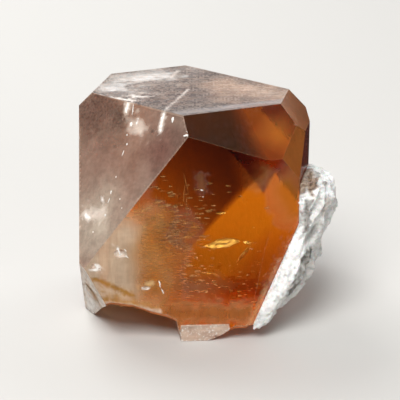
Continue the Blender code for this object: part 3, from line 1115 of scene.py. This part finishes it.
@dataclass(frozen=True)
class VeilFinish:
    """Milky veil of healed cracks: a thin, cloudy sheet that scatters light in fine level streaks."""

    pale_hex: str = "d09848"
    streak_mm: float = 0.3
    streak_stretch: float = 5.0
    cloud_mm: float = 1.6

    def material(self) -> bpy.types.Material:
        """Build the material, whose cloudiness follows the mesh's veil attribute.

        Returns:
            The material.
        """
        material, tree = new_material("topaz_milky_veil")
        place = add_node(tree, "ShaderNodeTexCoord").outputs["Object"]
        veil = add_node(tree, "ShaderNodeAttribute", {"attribute_name": "veil"}).outputs["Fac"]
        level = add_node(
            tree, "ShaderNodeMapping", {"Scale": (1.0 / self.streak_stretch, 0.3, 1.0)}, {"Vector": place}
        ).outputs[0]
        streak = add_node(
            tree, "ShaderNodeTexNoise",
            {"Scale": 1.0 / mm(self.streak_mm), "Detail": 4.0, "Roughness": 0.65}, {"Vector": level},
        ).outputs["Fac"]
        cloud = add_node(
            tree, "ShaderNodeTexNoise",
            {"Scale": 1.0 / mm(self.cloud_mm), "Detail": 4.0, "Roughness": 0.6}, {"Vector": place},
        ).outputs["Fac"]
        both = add_node(tree, "ShaderNodeMath", {"operation": "ADD"}, {0: streak, 1: cloud}).outputs[0]
        patchy = add_node(
            tree, "ShaderNodeMapRange", {"From Min": 0.8, "From Max": 1.3, "To Min": 0.15, "To Max": 1.0},
            {"Value": both},
        ).outputs[0]
        cloudy = add_node(tree, "ShaderNodeMath", {"operation": "MULTIPLY"}, {0: patchy, 1: veil}).outputs[0]
        through = add_node(tree, "ShaderNodeMath", {"operation": "SUBTRACT", 0: 1.0}, {1: cloudy}).outputs[0]
        color = add_node(
            tree, "ShaderNodeMix",
            {"data_type": "RGBA", 6: linear("ffffff"), 7: linear(self.pale_hex)}, {0: cloudy},
        ).outputs[2]
        shader = add_node(
            tree, "ShaderNodeBsdfPrincipled", {"IOR": 1.0, "Roughness": 0.3},
            {"Base Color": color, "Transmission Weight": through},
        )
        add_node(tree, "ShaderNodeOutputMaterial", links={"Surface": shader.outputs[0]})
        return material


@dataclass(frozen=True)
class Cloud:
    """A soft-edged cloudy spot on a veil, by its place and its reach across and up the front face."""

    across: float
    up: float
    reach: tuple[float, float]
    strength: float


@dataclass
class MilkyVeil:
    """A thin closed sheet behind the front face, cloudy only where its clouds are."""

    name: str
    depth: float
    clouds: tuple[Cloud, ...]
    finish: VeilFinish
    left: float = -12.5
    right: float = 8.0
    foot: float = 5.2
    head: float = 24.0
    thickness: float = 0.04
    cells: int = 60
    ripple: float = 0.35
    ripple_size: float = 2.2
    cloud_core: float = 0.15
    cloud_ragged: float = 0.5
    cloud_ragged_size: float = 2.4
    face_gap: float = 0.3

    def strength(self, place: Vector) -> float:
        """Find how cloudy the veil is at a place.

        Args:
            place: Position in millimetres.

        Returns:
            The cloudiness, from 0 to 1.
        """
        share = 0.0
        ragged = 1.0 + self.cloud_ragged * noise.noise(place / self.cloud_ragged_size)
        for cloud in self.clouds:
            across, up = cloud.reach
            away = Vector(((place.x - cloud.across) / across, (place.z - cloud.up) / up)) * ragged
            share = max(share, cloud.strength * (1.0 - smoothstep(self.cloud_core, 1.0, away.length)))
        return share

    def outside(self, spot: Vector) -> bool:
        """Whether a point in metres comes too near the crystal's growth faces."""
        guards = (FaceKind.DOME_FRONT_LEFT, FaceKind.PYRAMID_FRONT_RIGHT, FaceKind.SEAM, FaceKind.LEFT_BREAK)
        return any(spot.dot(kind.direction) > reach_of(kind) - mm(self.face_gap) for kind in guards)

    def build(self) -> bpy.types.Object:
        """Lay the sheet parallel to the front face and ripple it.

        Returns:
            The finished piece.
        """
        outward = FaceKind.PRISM_FRONT.direction
        level = reach_of(FaceKind.PRISM_FRONT) - mm(self.depth)
        data = bmesh.new()
        bmesh.ops.create_grid(data, x_segments=self.cells, y_segments=self.cells, size=mm(0.5))
        width, height = self.right - self.left, self.head - self.foot
        bmesh.ops.scale(data, vec=(width, height, 1.0), verts=data.verts)
        bmesh.ops.rotate(data, matrix=Matrix.Rotation(math.radians(90.0), 3, "X"), verts=data.verts)
        middle = mm_vector(((self.left + self.right) / 2.0, 0.0, (self.foot + self.head) / 2.0))
        bmesh.ops.translate(data, vec=middle, verts=data.verts)
        veil = data.verts.layers.float.new("veil")
        for vertex in data.verts:
            place = vertex.co / mm(1.0)
            ripple = mm(self.ripple) * noise.noise(place / self.ripple_size)
            vertex.co.y = (level + ripple - outward.x * vertex.co.x) / outward.y
            vertex[veil] = self.strength(place)
        hidden = [vertex for vertex in data.verts if vertex[veil] <= 0.0 or self.outside(vertex.co)]
        bmesh.ops.delete(data, geom=hidden, context="VERTS")
        bmesh.ops.solidify(data, geom=data.faces[:], thickness=mm(self.thickness))
        bmesh.ops.recalc_face_normals(data, faces=data.faces)
        return finish_piece(self.name, data, self.finish.material(), sharp_angle=60.0)


@dataclass(frozen=True)
class GlintFinish:
    """Cracks and bruises in the stone: thin gaps that throw the light back as pale glints."""

    name: str
    pale_hex: str
    through: float
    roughness: float
    mirror: float = 0.0
    ior: float = 1.45
    uneven_mm: float = 0.7

    def material(self) -> bpy.types.Material:
        """Build the material, slightly uneven from glint to glint.

        Returns:
            The material.
        """
        material, tree = new_material(self.name)
        place = add_node(tree, "ShaderNodeTexCoord").outputs["Object"]
        uneven = add_node(
            tree, "ShaderNodeTexNoise", {"Scale": 1.0 / mm(self.uneven_mm), "Detail": 2.0}, {"Vector": place}
        ).outputs["Fac"]
        through = add_node(
            tree, "ShaderNodeMapRange",
            {"From Min": 0.3, "From Max": 0.7, "To Min": self.through * 0.5, "To Max": self.through * 1.5},
            {"Value": uneven},
        ).outputs[0]
        shader = add_node(
            tree, "ShaderNodeBsdfPrincipled",
            {
                "Base Color": linear(self.pale_hex), "IOR": self.ior, "Roughness": self.roughness,
                "Metallic": self.mirror,
            },
            {"Transmission Weight": through},
        )
        add_node(tree, "ShaderNodeOutputMaterial", links={"Surface": shader.outputs[0]})
        return material


@dataclass(frozen=True)
class Swarm:
    """A swarm of small flakes behind the front face, with each range in millimetres."""

    across: float
    up: float
    spread: tuple[float, float]
    depth: tuple[float, float]
    length: tuple[float, float]
    count: int
    upright: bool = False


@dataclass
class CleavageFlakes:
    """Many small cracks, longest from side to side, and a few upright growth tubes, in swarms."""

    swarms: tuple[Swarm, ...]
    finish: GlintFinish
    seed: int = 7
    name: str = "cleavage_flakes"
    face_gap: float = 0.22
    lowest: float = 4.6
    turns: tuple[float, float] = (-14.0, 14.0)  # degrees, as the next three
    lean: float = 8.0
    tube_tip: float = 3.0
    flake_tips: tuple[float, float] = (-10.0, 70.0)
    flake_breadths: tuple[float, float] = (0.12, 0.45)  # share of the length, as the next two
    flake_thickness: float = 0.14
    tube_width: float = 0.04

    def inside(self, spot: Vector) -> bool:
        """Whether a point lies well inside the crystal.

        Args:
            spot: Position in metres.

        Returns:
            True inside.
        """
        walls = [kind for kind in FaceKind if kind not in BROKEN and kind is not FaceKind.CLEAVAGE_BASE]
        clear = all(spot.dot(kind.direction) < reach_of(kind) - mm(self.face_gap) for kind in walls)
        return clear and spot.z > mm(self.lowest)

    def build(self) -> bpy.types.Object:
        """Scatter the flakes and join them in one mesh.

        Returns:
            The finished piece.
        """
        draw = random.Random(self.seed)
        data = bmesh.new()
        outward = FaceKind.PRISM_FRONT.direction
        front = reach_of(FaceKind.PRISM_FRONT)
        tube = (self.tube_width, self.tube_width, 1.0)
        for swarm in self.swarms:
            for _ in range(swarm.count):
                across = mm(draw.gauss(swarm.across, swarm.spread[0]))
                up = mm(draw.gauss(swarm.up, swarm.spread[1]))
                behind = mm(draw.uniform(*swarm.depth))
                length = mm(draw.uniform(*swarm.length))
                turn, lean = draw.uniform(*self.turns), draw.gauss(0.0, self.lean)
                tip = draw.gauss(0.0, self.tube_tip) if swarm.upright else draw.uniform(*self.flake_tips)
                broad = draw.uniform(*self.flake_breadths)
                spot = Vector((across, (front - behind - outward.x * across) / outward.y, up))
                if not self.inside(spot):
                    continue
                size = tube if swarm.upright else (1.0, broad, self.flake_thickness)
                place = (
                    Matrix.Translation(spot)
                    @ Matrix.Rotation(math.radians(turn), 4, "Z")
                    @ Matrix.Rotation(math.radians(tip), 4, "X")
                    @ Matrix.Rotation(math.radians(lean), 4, "Y")
                    @ Matrix.Diagonal((*(part * length / 2.0 for part in size), 1.0))
                )
                bmesh.ops.create_icosphere(data, subdivisions=1, radius=1.0, matrix=place)
        return finish_piece(self.name, data, self.finish.material(), sharp_angle=50.0)


@dataclass(frozen=True)
class Lens:
    """One larger crack, as a thin lens between two ends."""

    start: Point
    end: Point
    breadth: float
    thickness: float
    lean: float  # degrees, front edge down


@dataclass
class HealedFractures:
    """The few large cracks that shine gold in the amber part of the stone."""

    lenses: tuple[Lens, ...]
    finish: GlintFinish
    ripple: float = 0.12
    ripple_size: float = 1.2
    fine_ripple_size: float = 0.4
    fine_ripple_share: float = 0.4
    sway: float = 0.15  # share of the breadth
    name: str = "golden_fractures"

    def build(self) -> bpy.types.Object:
        """Stretch one uneven lens between each pair of ends.

        Returns:
            The finished piece.
        """
        data = bmesh.new()
        for lens in self.lenses:
            start, end = mm_vector(lens.start), mm_vector(lens.end)
            along = (end - start).normalized()
            across = Vector((0.0, 1.0, 0.0))
            across = (across - along * across.dot(along)).normalized()
            across.rotate(Matrix.Rotation(math.radians(lens.lean), 3, along))
            upward = along.cross(across)
            turn = Matrix((along, across, upward)).transposed().to_4x4()
            size = ((end - start).length / 2.0, mm(lens.breadth) / 2.0, mm(lens.thickness) / 2.0, 1.0)
            place = Matrix.Translation((start + end) / 2.0) @ turn @ Matrix.Diagonal(size)
            made = bmesh.ops.create_icosphere(data, subdivisions=4, radius=1.0)
            for vertex in made["verts"]:
                pinch = math.sqrt(max(0.0, 1.0 - vertex.co.x * vertex.co.x))
                vertex.co = place @ Vector((vertex.co.x, vertex.co.y * pinch, vertex.co.z * pinch))
                bend = noise.noise(vertex.co / mm(self.ripple_size))
                bend += self.fine_ripple_share * noise.noise(vertex.co / mm(self.fine_ripple_size))
                vertex.co += upward * mm(self.ripple) * bend + across * mm(lens.breadth * self.sway) * bend
        return finish_piece(self.name, data, self.finish.material(), sharp_angle=60.0)


@dataclass(frozen=True)
class Scar:
    """A white bruise or scratch on a face, between two ends."""

    start: Point
    end: Point
    width: float


@dataclass
class SurfaceScars:
    """White bruises, chips and scratches that stand a hair's breadth proud of the faces."""

    face: FaceKind
    scars: tuple[Scar, ...]
    finish: GlintFinish
    name: str
    thickness: float = 0.10
    sunk: float = 0.02
    shortest: float = 0.02
    swell: float = 0.75
    least_swell_size: float = 0.16

    def build(self) -> bpy.types.Object:
        """Press a rough flat grain into the face for each scar.

        Returns:
            The finished piece.
        """
        data = bmesh.new()
        outward = self.face.direction
        level = reach_of(self.face)
        for scar in self.scars:
            start, end = mm_vector(scar.start), mm_vector(scar.end)
            run = end - start
            along = run - outward * run.dot(outward)
            half = along.length / 2.0 + mm(scar.width) / 2.0
            if along.length < mm(self.shortest):
                along = outward.orthogonal()
            along.normalize()
            across = outward.cross(along)
            middle = (start + end) / 2.0
            middle += outward * (level - middle.dot(outward) - mm(self.sunk))
            turn = Matrix((along, across, outward)).transposed().to_4x4()
            size = (half, mm(scar.width) / 2.0, mm(self.thickness) / 2.0, 1.0)
            place = Matrix.Translation(middle) @ turn @ Matrix.Diagonal(size)
            made = bmesh.ops.create_icosphere(data, subdivisions=3, radius=1.0, matrix=place)
            swell_size = mm(max(self.least_swell_size, scar.width * 0.5))
            for vertex in made["verts"]:
                away = vertex.co - middle
                flat = away - outward * away.dot(outward)
                swell = 1.0 + self.swell * noise.noise(vertex.co / swell_size)
                vertex.co += flat * (swell - 1.0)
        return finish_piece(self.name, data, self.finish.material(), sharp_angle=50.0)


@dataclass(frozen=True)
class AlbiteFinish:
    """White albite: sugary, translucent at its edges, with a satin sparkle on fresh grains.

    Real sugar-fine grains are smaller than the grain here, which is as coarse as it needs to be to
    show.
    """

    white_hex: str = "f6f6f3"
    shade_grey_hex: str = "6f6a62"
    grit_dark_hex: str = "75604e"
    grit_pale_hex: str = "a08a76"
    ior: float = 1.53
    roughness: float = 0.42
    grain_mm: float = 0.45
    bump_mm: float = 0.2
    glow_mm: float = 0.8

    def material(self) -> bpy.types.Material:
        """Build the material: grey where the mesh carries painted shade, grey specks in its pores, brown grit
        by the contact.

        Returns:
            The material.
        """
        material, tree = new_material("albite_sugary_white")
        place = add_node(tree, "ShaderNodeTexCoord").outputs["Object"]
        # painted shade from the mesh greys the white
        painted_grey_shade = add_node(tree, "ShaderNodeAttribute", {"attribute_name": "painted_grey_shade"}).outputs["Fac"]
        crust = add_node(tree, "ShaderNodeAttribute", {"attribute_name": "crust"}).outputs["Fac"]
        grain = add_node(
            tree, "ShaderNodeTexNoise", {"Scale": 1.0 / mm(self.grain_mm), "Detail": 4.0}, {"Vector": place}
        ).outputs["Fac"]
        pore = add_node(
            tree, "ShaderNodeMapRange", {"From Min": 0.34, "From Max": 0.52, "To Min": 0.22, "To Max": 0.0},
            {"Value": grain},
        ).outputs[0]
        dim = add_node(
            tree, "ShaderNodeMath", {"operation": "ADD", "use_clamp": True}, {0: painted_grey_shade, 1: pore}
        ).outputs[0]
        clean = add_node(
            tree, "ShaderNodeMix", {"data_type": "RGBA", 6: linear(self.white_hex), 7: linear(self.shade_grey_hex)},
            {0: dim},
        ).outputs[2]
        speckle = add_node(
            tree, "ShaderNodeMapRange", {"From Min": 0.42, "From Max": 0.58}, {"Value": grain}
        ).outputs[0]
        grit = add_node(
            tree, "ShaderNodeMix",
            {"data_type": "RGBA", 6: linear(self.grit_dark_hex), 7: linear(self.grit_pale_hex)}, {0: speckle},
        ).outputs[2]
        color = add_node(
            tree, "ShaderNodeMix", {"data_type": "RGBA"}, {0: crust, 6: clean, 7: grit}
        ).outputs[2]
        bump = add_node(
            tree, "ShaderNodeBump", {"Strength": 0.9, "Distance": mm(self.bump_mm)}, {"Height": grain}
        ).outputs[0]
        shader = add_node(
            tree, "ShaderNodeBsdfPrincipled",
            {
                "IOR": self.ior, "Roughness": self.roughness, "Subsurface Weight": 0.15,
                "Subsurface Scale": mm(self.glow_mm),
            },
            {"Base Color": color, "Normal": bump},
        )
        add_node(tree, "ShaderNodeOutputMaterial", links={"Surface": shader.outputs[0]})
        return material


@dataclass
class AlbiteLump:
    """The lump of albite, with the fine relief that its CAD solid leaves out.

    A painted shadow band's or ochre stain's skin gives its strength as its stain share.
    """

    finish: AlbiteFinish = field(default_factory=AlbiteFinish)
    voxel: float = 0.16
    ridge: float = 0.8
    ridge_size: float = 1.8
    ridge_run: Point = (0.45, -0.1, 0.88)
    ridge_stretch: float = 0.6  # share of the length along the run that is taken out
    block: float = 0.45
    block_size: float = 1.3
    fine: float = 0.2
    fine_size: float = 0.5
    calm: tuple[float, float] = (0.4, 1.0)  # distance from the topaz over which the relief fades in
    touch: float = 0.55
    least_gap: float = 0.03
    gap_rise: float = 0.3
    # painted shade: grey on the side that faces this way, away from the light, and in the hollows
    shaded_side: Point = (0.75, 0.0, -0.65)
    shaded_grey: float = 0.25
    hollow_grey: float = 0.62
    hollow_depth: float = 0.85
    # painted shadow: grey bands where the ridges would throw shadow on the lump; each skin's share gives how
    # dark the shadow is
    shadow_bands: tuple[Patch, ...] = (
        Patch(Skin(stain_and_shadow=0.85), (10.4, -11.6, 6.6), 1.1, end=(12.9, -10.4, 11.4), core=0.25, ragged=0.9),
        Patch(Skin(stain_and_shadow=0.75), (12.5, -11.2, 18.6), 0.75, end=(12.3, -11.3, 14.8), core=0.2, ragged=0.9),
        Patch(Skin(stain_and_shadow=0.6), (14.0, -10.9, 18.9), 0.45, core=0.2, ragged=0.9),
        Patch(Skin(stain_and_shadow=0.5), (9.9, -12.6, 6.7), 0.5, end=(10.5, -12.4, 8.3), core=0.2, ragged=0.9),
        Patch(Skin(stain_and_shadow=1.0), (14.4, -3.3, 20.2), 0.6, core=0.3, ragged=0.8),
        Patch(Skin(stain_and_shadow=0.7), (13.4, -6.5, 20.9), 0.6, end=(14.6, -8.4, 20.2), core=0.3, ragged=0.8),
    )
    ochre_stain: Patch = Patch(
        Skin(stain_and_shadow=0.5), (15.0, -10.3, 18.3), 0.9, end=(14.5, -10.3, 17.0), ragged=0.8
    )
    crust_start: Point = (12.2, -6.8, 21.8)
    crust_end: Point = (12.3, -10.0, 20.5)
    crust_reach: float = 1.9
    crust_ragged_size: float = 0.7

    def crust_share(self, place: Vector) -> float:
        """Find how much brown grit covers a place by the contact.

        Args:
            place: Position in millimetres.

        Returns:
            The share, from 0 to 1.
        """
        away = stretch_distance(place, Vector(self.crust_start), Vector(self.crust_end))
        ragged = 1.0 + 0.5 * noise.noise(place / self.crust_ragged_size)
        crust = 1.0 - smoothstep(0.6, 1.0, away / self.crust_reach * ragged)
        return max(crust, self.ochre_stain.skin.stain_and_shadow * self.ochre_stain.share(place))

    def even_mesh(self) -> bmesh.types.BMesh:
        """Turn the CAD lump into an even mesh of small quads.

        Returns:
            The mesh, in metres.
        """
        data = merged_copy(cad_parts["albite_matrix"])
        mesh = bpy.data.meshes.new("albite_rough")
        data.to_mesh(mesh)
        data.free()
        holder = bpy.data.objects.new("albite_rough", mesh)
        bpy.context.scene.collection.objects.link(holder)
        remesh = holder.modifiers.new("even mesh", "REMESH")
        remesh.mode = "VOXEL"
        remesh.voxel_size = mm(self.voxel)
        graph = bpy.context.evaluated_depsgraph_get()
        even = bmesh.new()
        even.from_mesh(holder.evaluated_get(graph).to_mesh())
        bpy.data.objects.remove(holder)
        return even

    def facet(self, place: Vector, size: float) -> float:
        """Find the height of a blocky grain's flat top, tilted its own way.

        Args:
            place: Position in millimetres.
            size: Width of the grains in millimetres.

        Returns:
            The height as a share of the size.
        """
        spot = place / size
        middle = noise.voronoi(spot)[1][0]
        tilt = noise.cell_vector(middle * 7.3) - Vector((0.5, 0.5, 0.5))
        return (spot - middle).dot(tilt) + 0.5 * tilt.x

    def lift(self, place: Vector) -> float:
        """Find how far the skin stands out at a place.

        Args:
            place: Position in millimetres.

        Returns:
            The lift in millimetres, less than 0 in hollows.
        """
        run = Vector(self.ridge_run).normalized()
        flat = place - run * (place.dot(run) * self.ridge_stretch)
        ridges = 1.0 - 2.0 * abs(noise.noise(flat / self.ridge_size))
        blocks = self.block * self.facet(flat, self.block_size)
        blocks += self.fine * self.facet(place, self.fine_size)
        return self.ridge * (ridges - 0.75) + blocks

    def greyness(self, place: Vector, lift: float, shaded: float) -> float:
        """Find how much painted shade greys the lump at a place: in its hollows, on its side away from the
        light and in the painted shadow bands of its ridges.

        Args:
            place: Position in millimetres.
            lift: How far the skin stands out there, in millimetres.
            shaded: How far the skin faces the shaded side, as a cosine.

        Returns:
            The greyness, from 0 to 1.
        """
        # painted shade: grey in the hollows, on the side away from the light and in the shadow bands
        painted_grey_shade = self.hollow_grey * smoothstep(0.0, -self.hollow_depth, lift)
        side = self.shaded_grey * smoothstep(-0.1, 0.7, shaded)
        bands = max(patch.skin.stain_and_shadow * patch.share(place) for patch in self.shadow_bands)
        return max(painted_grey_shade, side, bands)

    def build(self) -> bpy.types.Object:
        """Make the lump and let it stand for its CAD node.

        Returns:
            The finished piece.
        """
        even = self.even_mesh()
        crystal = merged_copy(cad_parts["topaz_crystal"])
        near = BVHTree.FromBMesh(crystal)
        crystal.free()
        even.normal_update()
        low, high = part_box("albite_matrix")
        painted_grey_shade = even.verts.layers.float.new("painted_grey_shade")
        crust = even.verts.layers.float.new("crust")
        shade = Vector(self.shaded_side).normalized()
        calm_start, calm_end = (mm(part) for part in self.calm)
        for vertex in even.verts:
            gap = near.find_nearest(vertex.co)[3]
            ease = smoothstep(calm_start, calm_end, gap)
            lift = self.lift(vertex.co / mm(1.0))
            vertex[painted_grey_shade] = self.greyness(vertex.co / mm(1.0), lift, vertex.normal.dot(shade))
            vertex[crust] = self.crust_share(vertex.co / mm(1.0))
            vertex.co += vertex.normal * mm(lift) * ease
            spot, outward, _, gap = near.find_nearest(vertex.co)
            if gap < mm(self.touch):
                rise = self.gap_rise * smoothstep(0.5, 1.0, gap / mm(self.touch))
                vertex.co = spot + outward * mm(self.least_gap + rise)
            vertex.co = Vector([min(max(vertex.co[axis], low[axis]), high[axis]) for axis in range(3)])
        piece = finish_piece("albite_lump", even, self.finish.material(), sharp_angle=60.0)
        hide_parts("albite_matrix")
        return piece


@dataclass(frozen=True)
class Softbox:
    """A square soft light that faces the crystal, with its angles in degrees and power in watts."""

    name: str
    azimuth: float
    elevation: float
    size: float
    power: float
    reach: float = 420.0

    def hang(self, aim: Vector) -> None:
        """Hang the light.

        Args:
            aim: Point in metres that the light faces.
        """
        light = bpy.data.lights.new(self.name, "AREA")
        light.shape = "SQUARE"
        light.size = mm(self.size)
        light.energy = self.power
        holder = bpy.data.objects.new(self.name, light)
        bpy.context.scene.collection.objects.link(holder)
        towards = compass(self.azimuth, self.elevation)
        holder.location = aim + towards * mm(self.reach)
        holder.rotation_euler = towards.to_track_quat("Z", "Y").to_euler()


@dataclass
class Studio:
    """Pale floor, soft lights and the camera."""

    aim: Point = (-0.893, -1.541, 15.0)
    distance: float = 170.0
    elevation: float = 21.53
    focal: float = 116.3
    floor_hex: str = "c9c7c3"
    floor_size: float = 1200.0
    floor_gap: float = 0.05
    room_hex: str = "e6e8ec"
    room_strength: float = 0.05
    lights: tuple[Softbox, ...] = (
        Softbox("key_left", azimuth=-18.0, elevation=52.0, size=200.0, power=1.9),
        Softbox("window_back", azimuth=-138.0, elevation=44.0, size=300.0, power=1.3),
        Softbox("card_back", azimuth=178.0, elevation=24.0, size=320.0, power=0.45),
        Softbox("rim_back_right", azimuth=132.0, elevation=42.0, size=240.0, power=0.4),
        Softbox("fill_front_right", azimuth=34.0, elevation=10.0, size=110.0, power=0.3),
        Softbox("fill_front_left", azimuth=-58.0, elevation=6.0, size=110.0, power=0.14),
    )

    def place_camera(self) -> None:
        """Put the camera in front of the crystal, looking down on it."""
        camera = bpy.data.cameras.new("camera")
        camera.lens = self.focal
        camera.sensor_width = 36.0
        camera.clip_start = mm(5.0)
        camera.clip_end = mm(5000.0)
        holder = bpy.data.objects.new("camera", camera)
        bpy.context.scene.collection.objects.link(holder)
        back = compass(0.0, self.elevation)
        holder.location = mm_vector(self.aim) + back * mm(self.distance)
        holder.rotation_euler = (-back).to_track_quat("-Z", "Y").to_euler()
        bpy.context.scene.camera = holder

    def lay_floor(self) -> None:
        """Lay a plain pale floor under the crystal."""
        data = bmesh.new()
        bmesh.ops.create_grid(data, x_segments=8, y_segments=8, size=mm(self.floor_size))
        mesh = bpy.data.meshes.new("floor")
        data.to_mesh(mesh)
        data.free()
        material, tree = new_material("floor_pale_paper")
        shader = add_node(
            tree, "ShaderNodeBsdfPrincipled", {"Base Color": linear(self.floor_hex), "Roughness": 0.8}
        )
        add_node(tree, "ShaderNodeOutputMaterial", links={"Surface": shader.outputs[0]})
        mesh.materials.append(material)
        floor = bpy.data.objects.new("floor", mesh)
        floor.location.z = -mm(self.floor_gap)
        floor.visible_glossy = False
        bpy.context.scene.collection.objects.link(floor)

    def fill_world(self) -> None:
        """Give the room an even, weak grey light."""
        world = bpy.data.worlds.new("room")
        world.use_nodes = True
        background = world.node_tree.nodes["Background"]
        background.inputs["Color"].default_value = linear(self.room_hex)
        background.inputs["Strength"].default_value = self.room_strength
        bpy.context.scene.world = world

    def build(self) -> None:
        """Set up the whole studio."""
        self.place_camera()
        self.lay_floor()
        for light in self.lights:
            light.hang(mm_vector(self.aim))
        self.fill_world()
        bpy.context.scene.view_settings.view_transform = "Standard"


def zones() -> list[ColorZone]:
    """List the zones inside the stone.

    Returns:
        The dark zone of painted shade and the deep amber one.
    """
    # painted shade: this dark zone under the top stands in for the dark surroundings seen through the clear
    # stone
    shaded_zone = ColorZone(
        "painted_shade_zone",
        ZoneFinish("topaz_painted_shade_depth", "a97b00", 540.0),
        (
            Wall((7.1, -12.5, 22.85), (0.7405, 0.046, -0.686)),
            Wall((7.6, -12.4, 20.0), (0.823, 0.568, 0.0)),
            Wall((-4.6, -11.8, 15.6), (-0.481, 1.0, -0.481)),
        ),
    )
    root = ColorZone(
        "amber_root_zone",
        ZoneFinish("topaz_deep_amber_zone", "e2b000", 125.0),
        (
            Wall((5.2, -12.6, 13.8), (-0.774, 0.461, 0.554)),
            Wall((5.0, -12.6, 15.0), (-0.48, 0.541, 0.791)),
            Wall((4.0, -6.5, 9.0), (-0.3, 1.0, 0.2)),
            Wall((4.0, -10.0, 4.6), (0.0, 0.0, -1.0)),
        ),
    )
    return [shaded_zone, root]


def inner_pieces() -> list[MilkyVeil | CleavageFlakes | HealedFractures]:
    """List what shows through the front face.

    Returns:
        The veils, the flakes and the golden cracks.
    """
    glint = GlintFinish("topaz_cleavage_glint", "ffd498", 0.3, roughness=0.4, mirror=0.12)
    gold = GlintFinish("topaz_healed_fracture_gold", "ffce70", 0.04, roughness=0.43, mirror=0.68)
    near = MilkyVeil(
        "milky_veil_near", 0.9,
        (
            Cloud(-10.0, 10.5, (6.5, 7.5), 0.5),
            Cloud(-6.5, 14.0, (4.5, 5.5), 0.35),
            Cloud(-4.0, 7.0, (7.5, 3.5), 0.3),
        ),
        VeilFinish(),
    )
    deep = MilkyVeil(
        "milky_veil_deep", 2.6,
        (Cloud(-5.0, 14.0, (4.5, 5.0), 0.3), Cloud(-8.0, 11.0, (6.5, 7.0), 0.3)),
        VeilFinish(pale_hex="c8925a"),
    )
    right = MilkyVeil(
        "amber_veil_right", 2.2, (Cloud(5.8, 21.5, (2.4, 2.6), 0.42),), VeilFinish(pale_hex="d4600c"),
        left=2.6, right=8.6, foot=18.0, head=24.5, cells=36,
    )
    flakes = CleavageFlakes(
        (
            Swarm(-5.4, 14.0, (2.5, 3.1), (0.28, 0.8), (0.2, 1.1), 1000),
            Swarm(-8.5, 11.0, (2.6, 3.0), (0.28, 0.85), (0.15, 0.7), 420),
            Swarm(-2.0, 8.0, (4.5, 1.8), (0.28, 0.85), (0.15, 0.7), 200),
            Swarm(1.0, 20.0, (3.0, 2.0), (0.28, 1.2), (0.3, 0.9), 10),
            Swarm(5.0, 9.0, (3.0, 4.0), (0.2, 2.5), (0.2, 0.7), 40),
            Swarm(-6.0, 15.5, (2.3, 3.4), (0.3, 0.85), (0.8, 3.0), 60, upright=True),
        ),
        glint,
    )
    cracks = HealedFractures(
        (
            Lens((-0.3, -11.7, 13.0), (4.1, -11.5, 13.7), 1.4, 0.14, lean=69.0),
            Lens((0.9, -12.0, 17.5), (2.4, -12.0, 17.6), 0.3, 0.08, lean=60.0),
            Lens((-1.0, -12.0, 9.5), (1.0, -12.0, 9.4), 0.25, 0.08, lean=60.0),
            Lens((4.4, -12.0, 13.7), (5.6, -11.9, 13.4), 0.45, 0.1, lean=62.0),
            Lens((5.5, -11.9, 13.2), (3.6, -12.0, 10.8), 0.45, 0.12, lean=50.0),
        ),
        gold,
    )
    return [near, deep, right, flakes, cracks]


def scar_pieces() -> list[SurfaceScars]:
    """List the white bruises and scratches.

    Returns:
        The scars of each face.
    """
    white = GlintFinish("topaz_bruise_white", "f6f1ea", 0.12, roughness=0.4)
    dome = SurfaceScars(
        FaceKind.DOME_FRONT_LEFT,
        (
            Scar((-9.1, -5.9, 29.4), (-9.2, -6.4, 28.4), 0.09),
            Scar((-9.45, -7.1, 27.4), (-9.45, -7.25, 27.2), 0.3),
            Scar((-9.21, -6.39, 28.8), (-9.21, -6.39, 28.8), 0.16),
            Scar((-4.16, -10.4, 29.2), (-4.16, -10.5, 28.9), 0.34),
            Scar((-9.95, -7.63, 26.1), (-9.95, -7.63, 26.0), 0.13),
            Scar((-9.93, -8.3, 25.1), (-9.93, -8.3, 25.0), 0.17),
            Scar((-10.3, -8.5, 24.4), (-10.55, -8.7, 23.8), 0.12),
            Scar((-11.3, -9.76, 21.4), (-11.3, -9.76, 21.2), 0.13),
            Scar((-11.92, -10.4, 19.7), (-11.95, -10.5, 19.4), 0.15),
            Scar((-12.1, -10.8, 18.9), (-12.25, -10.9, 18.4), 0.11),
            Scar((-12.65, -11.6, 17.0), (-12.65, -11.6, 16.9), 0.2),
            Scar((-10.74, -11.7, 19.2), (-10.74, -11.7, 19.1), 0.1),
            Scar((-10.47, -12.5, 18.3), (-10.47, -12.5, 18.2), 0.1),
            Scar((-14.19, -11.8, 14.8), (-14.19, -11.8, 14.7), 0.12),
        ),
        white, "dome_face_scars",
    )
    prism = SurfaceScars(
        FaceKind.PRISM_FRONT,
        (
            Scar((-11.0, -13.5, 13.2), (-10.8, -13.5, 12.6), 0.2),
            Scar((-10.2, -13.5, 13.1), (-10.0, -13.5, 12.9), 0.14),
            Scar((-10.0, -13.5, 12.2), (-9.8, -13.5, 12.0), 0.14),
            Scar((-13.9, -13.6, 11.2), (-13.8, -13.6, 11.0), 0.2),
            Scar((-6.0, -13.2, 8.7), (-5.85, -13.2, 7.9), 0.17),
            Scar((-5.7, -13.2, 7.6), (-5.45, -13.2, 7.0), 0.15),
            Scar((-0.8, -12.9, 20.85), (-0.6, -12.9, 20.75), 0.17),
            Scar((-0.53, -12.9, 20.0), (-0.53, -12.9, 19.9), 0.11),
        ),
        white, "prism_face_scars",
    )
    corner = SurfaceScars(
        FaceKind.PYRAMID_FRONT_RIGHT,
        (Scar((-2.9, -12.6, 27.4), (-2.5, -12.6, 27.5), 0.26),),
        white, "corner_bruise",
    )
    return [dome, prism, corner]


def main() -> None:
    """Build the pieces in order and report each one."""
    logging.basicConfig(level=logging.INFO, format="%(message)s")
    for maker in (TopazBody(), *zones(), *inner_pieces(), *scar_pieces(), AlbiteLump()):
        piece = maker.build()
        LOG.info("%s: %d faces", piece.name, len(piece.data.polygons))
    Studio().build()


if __name__ == "__main__":
    main()
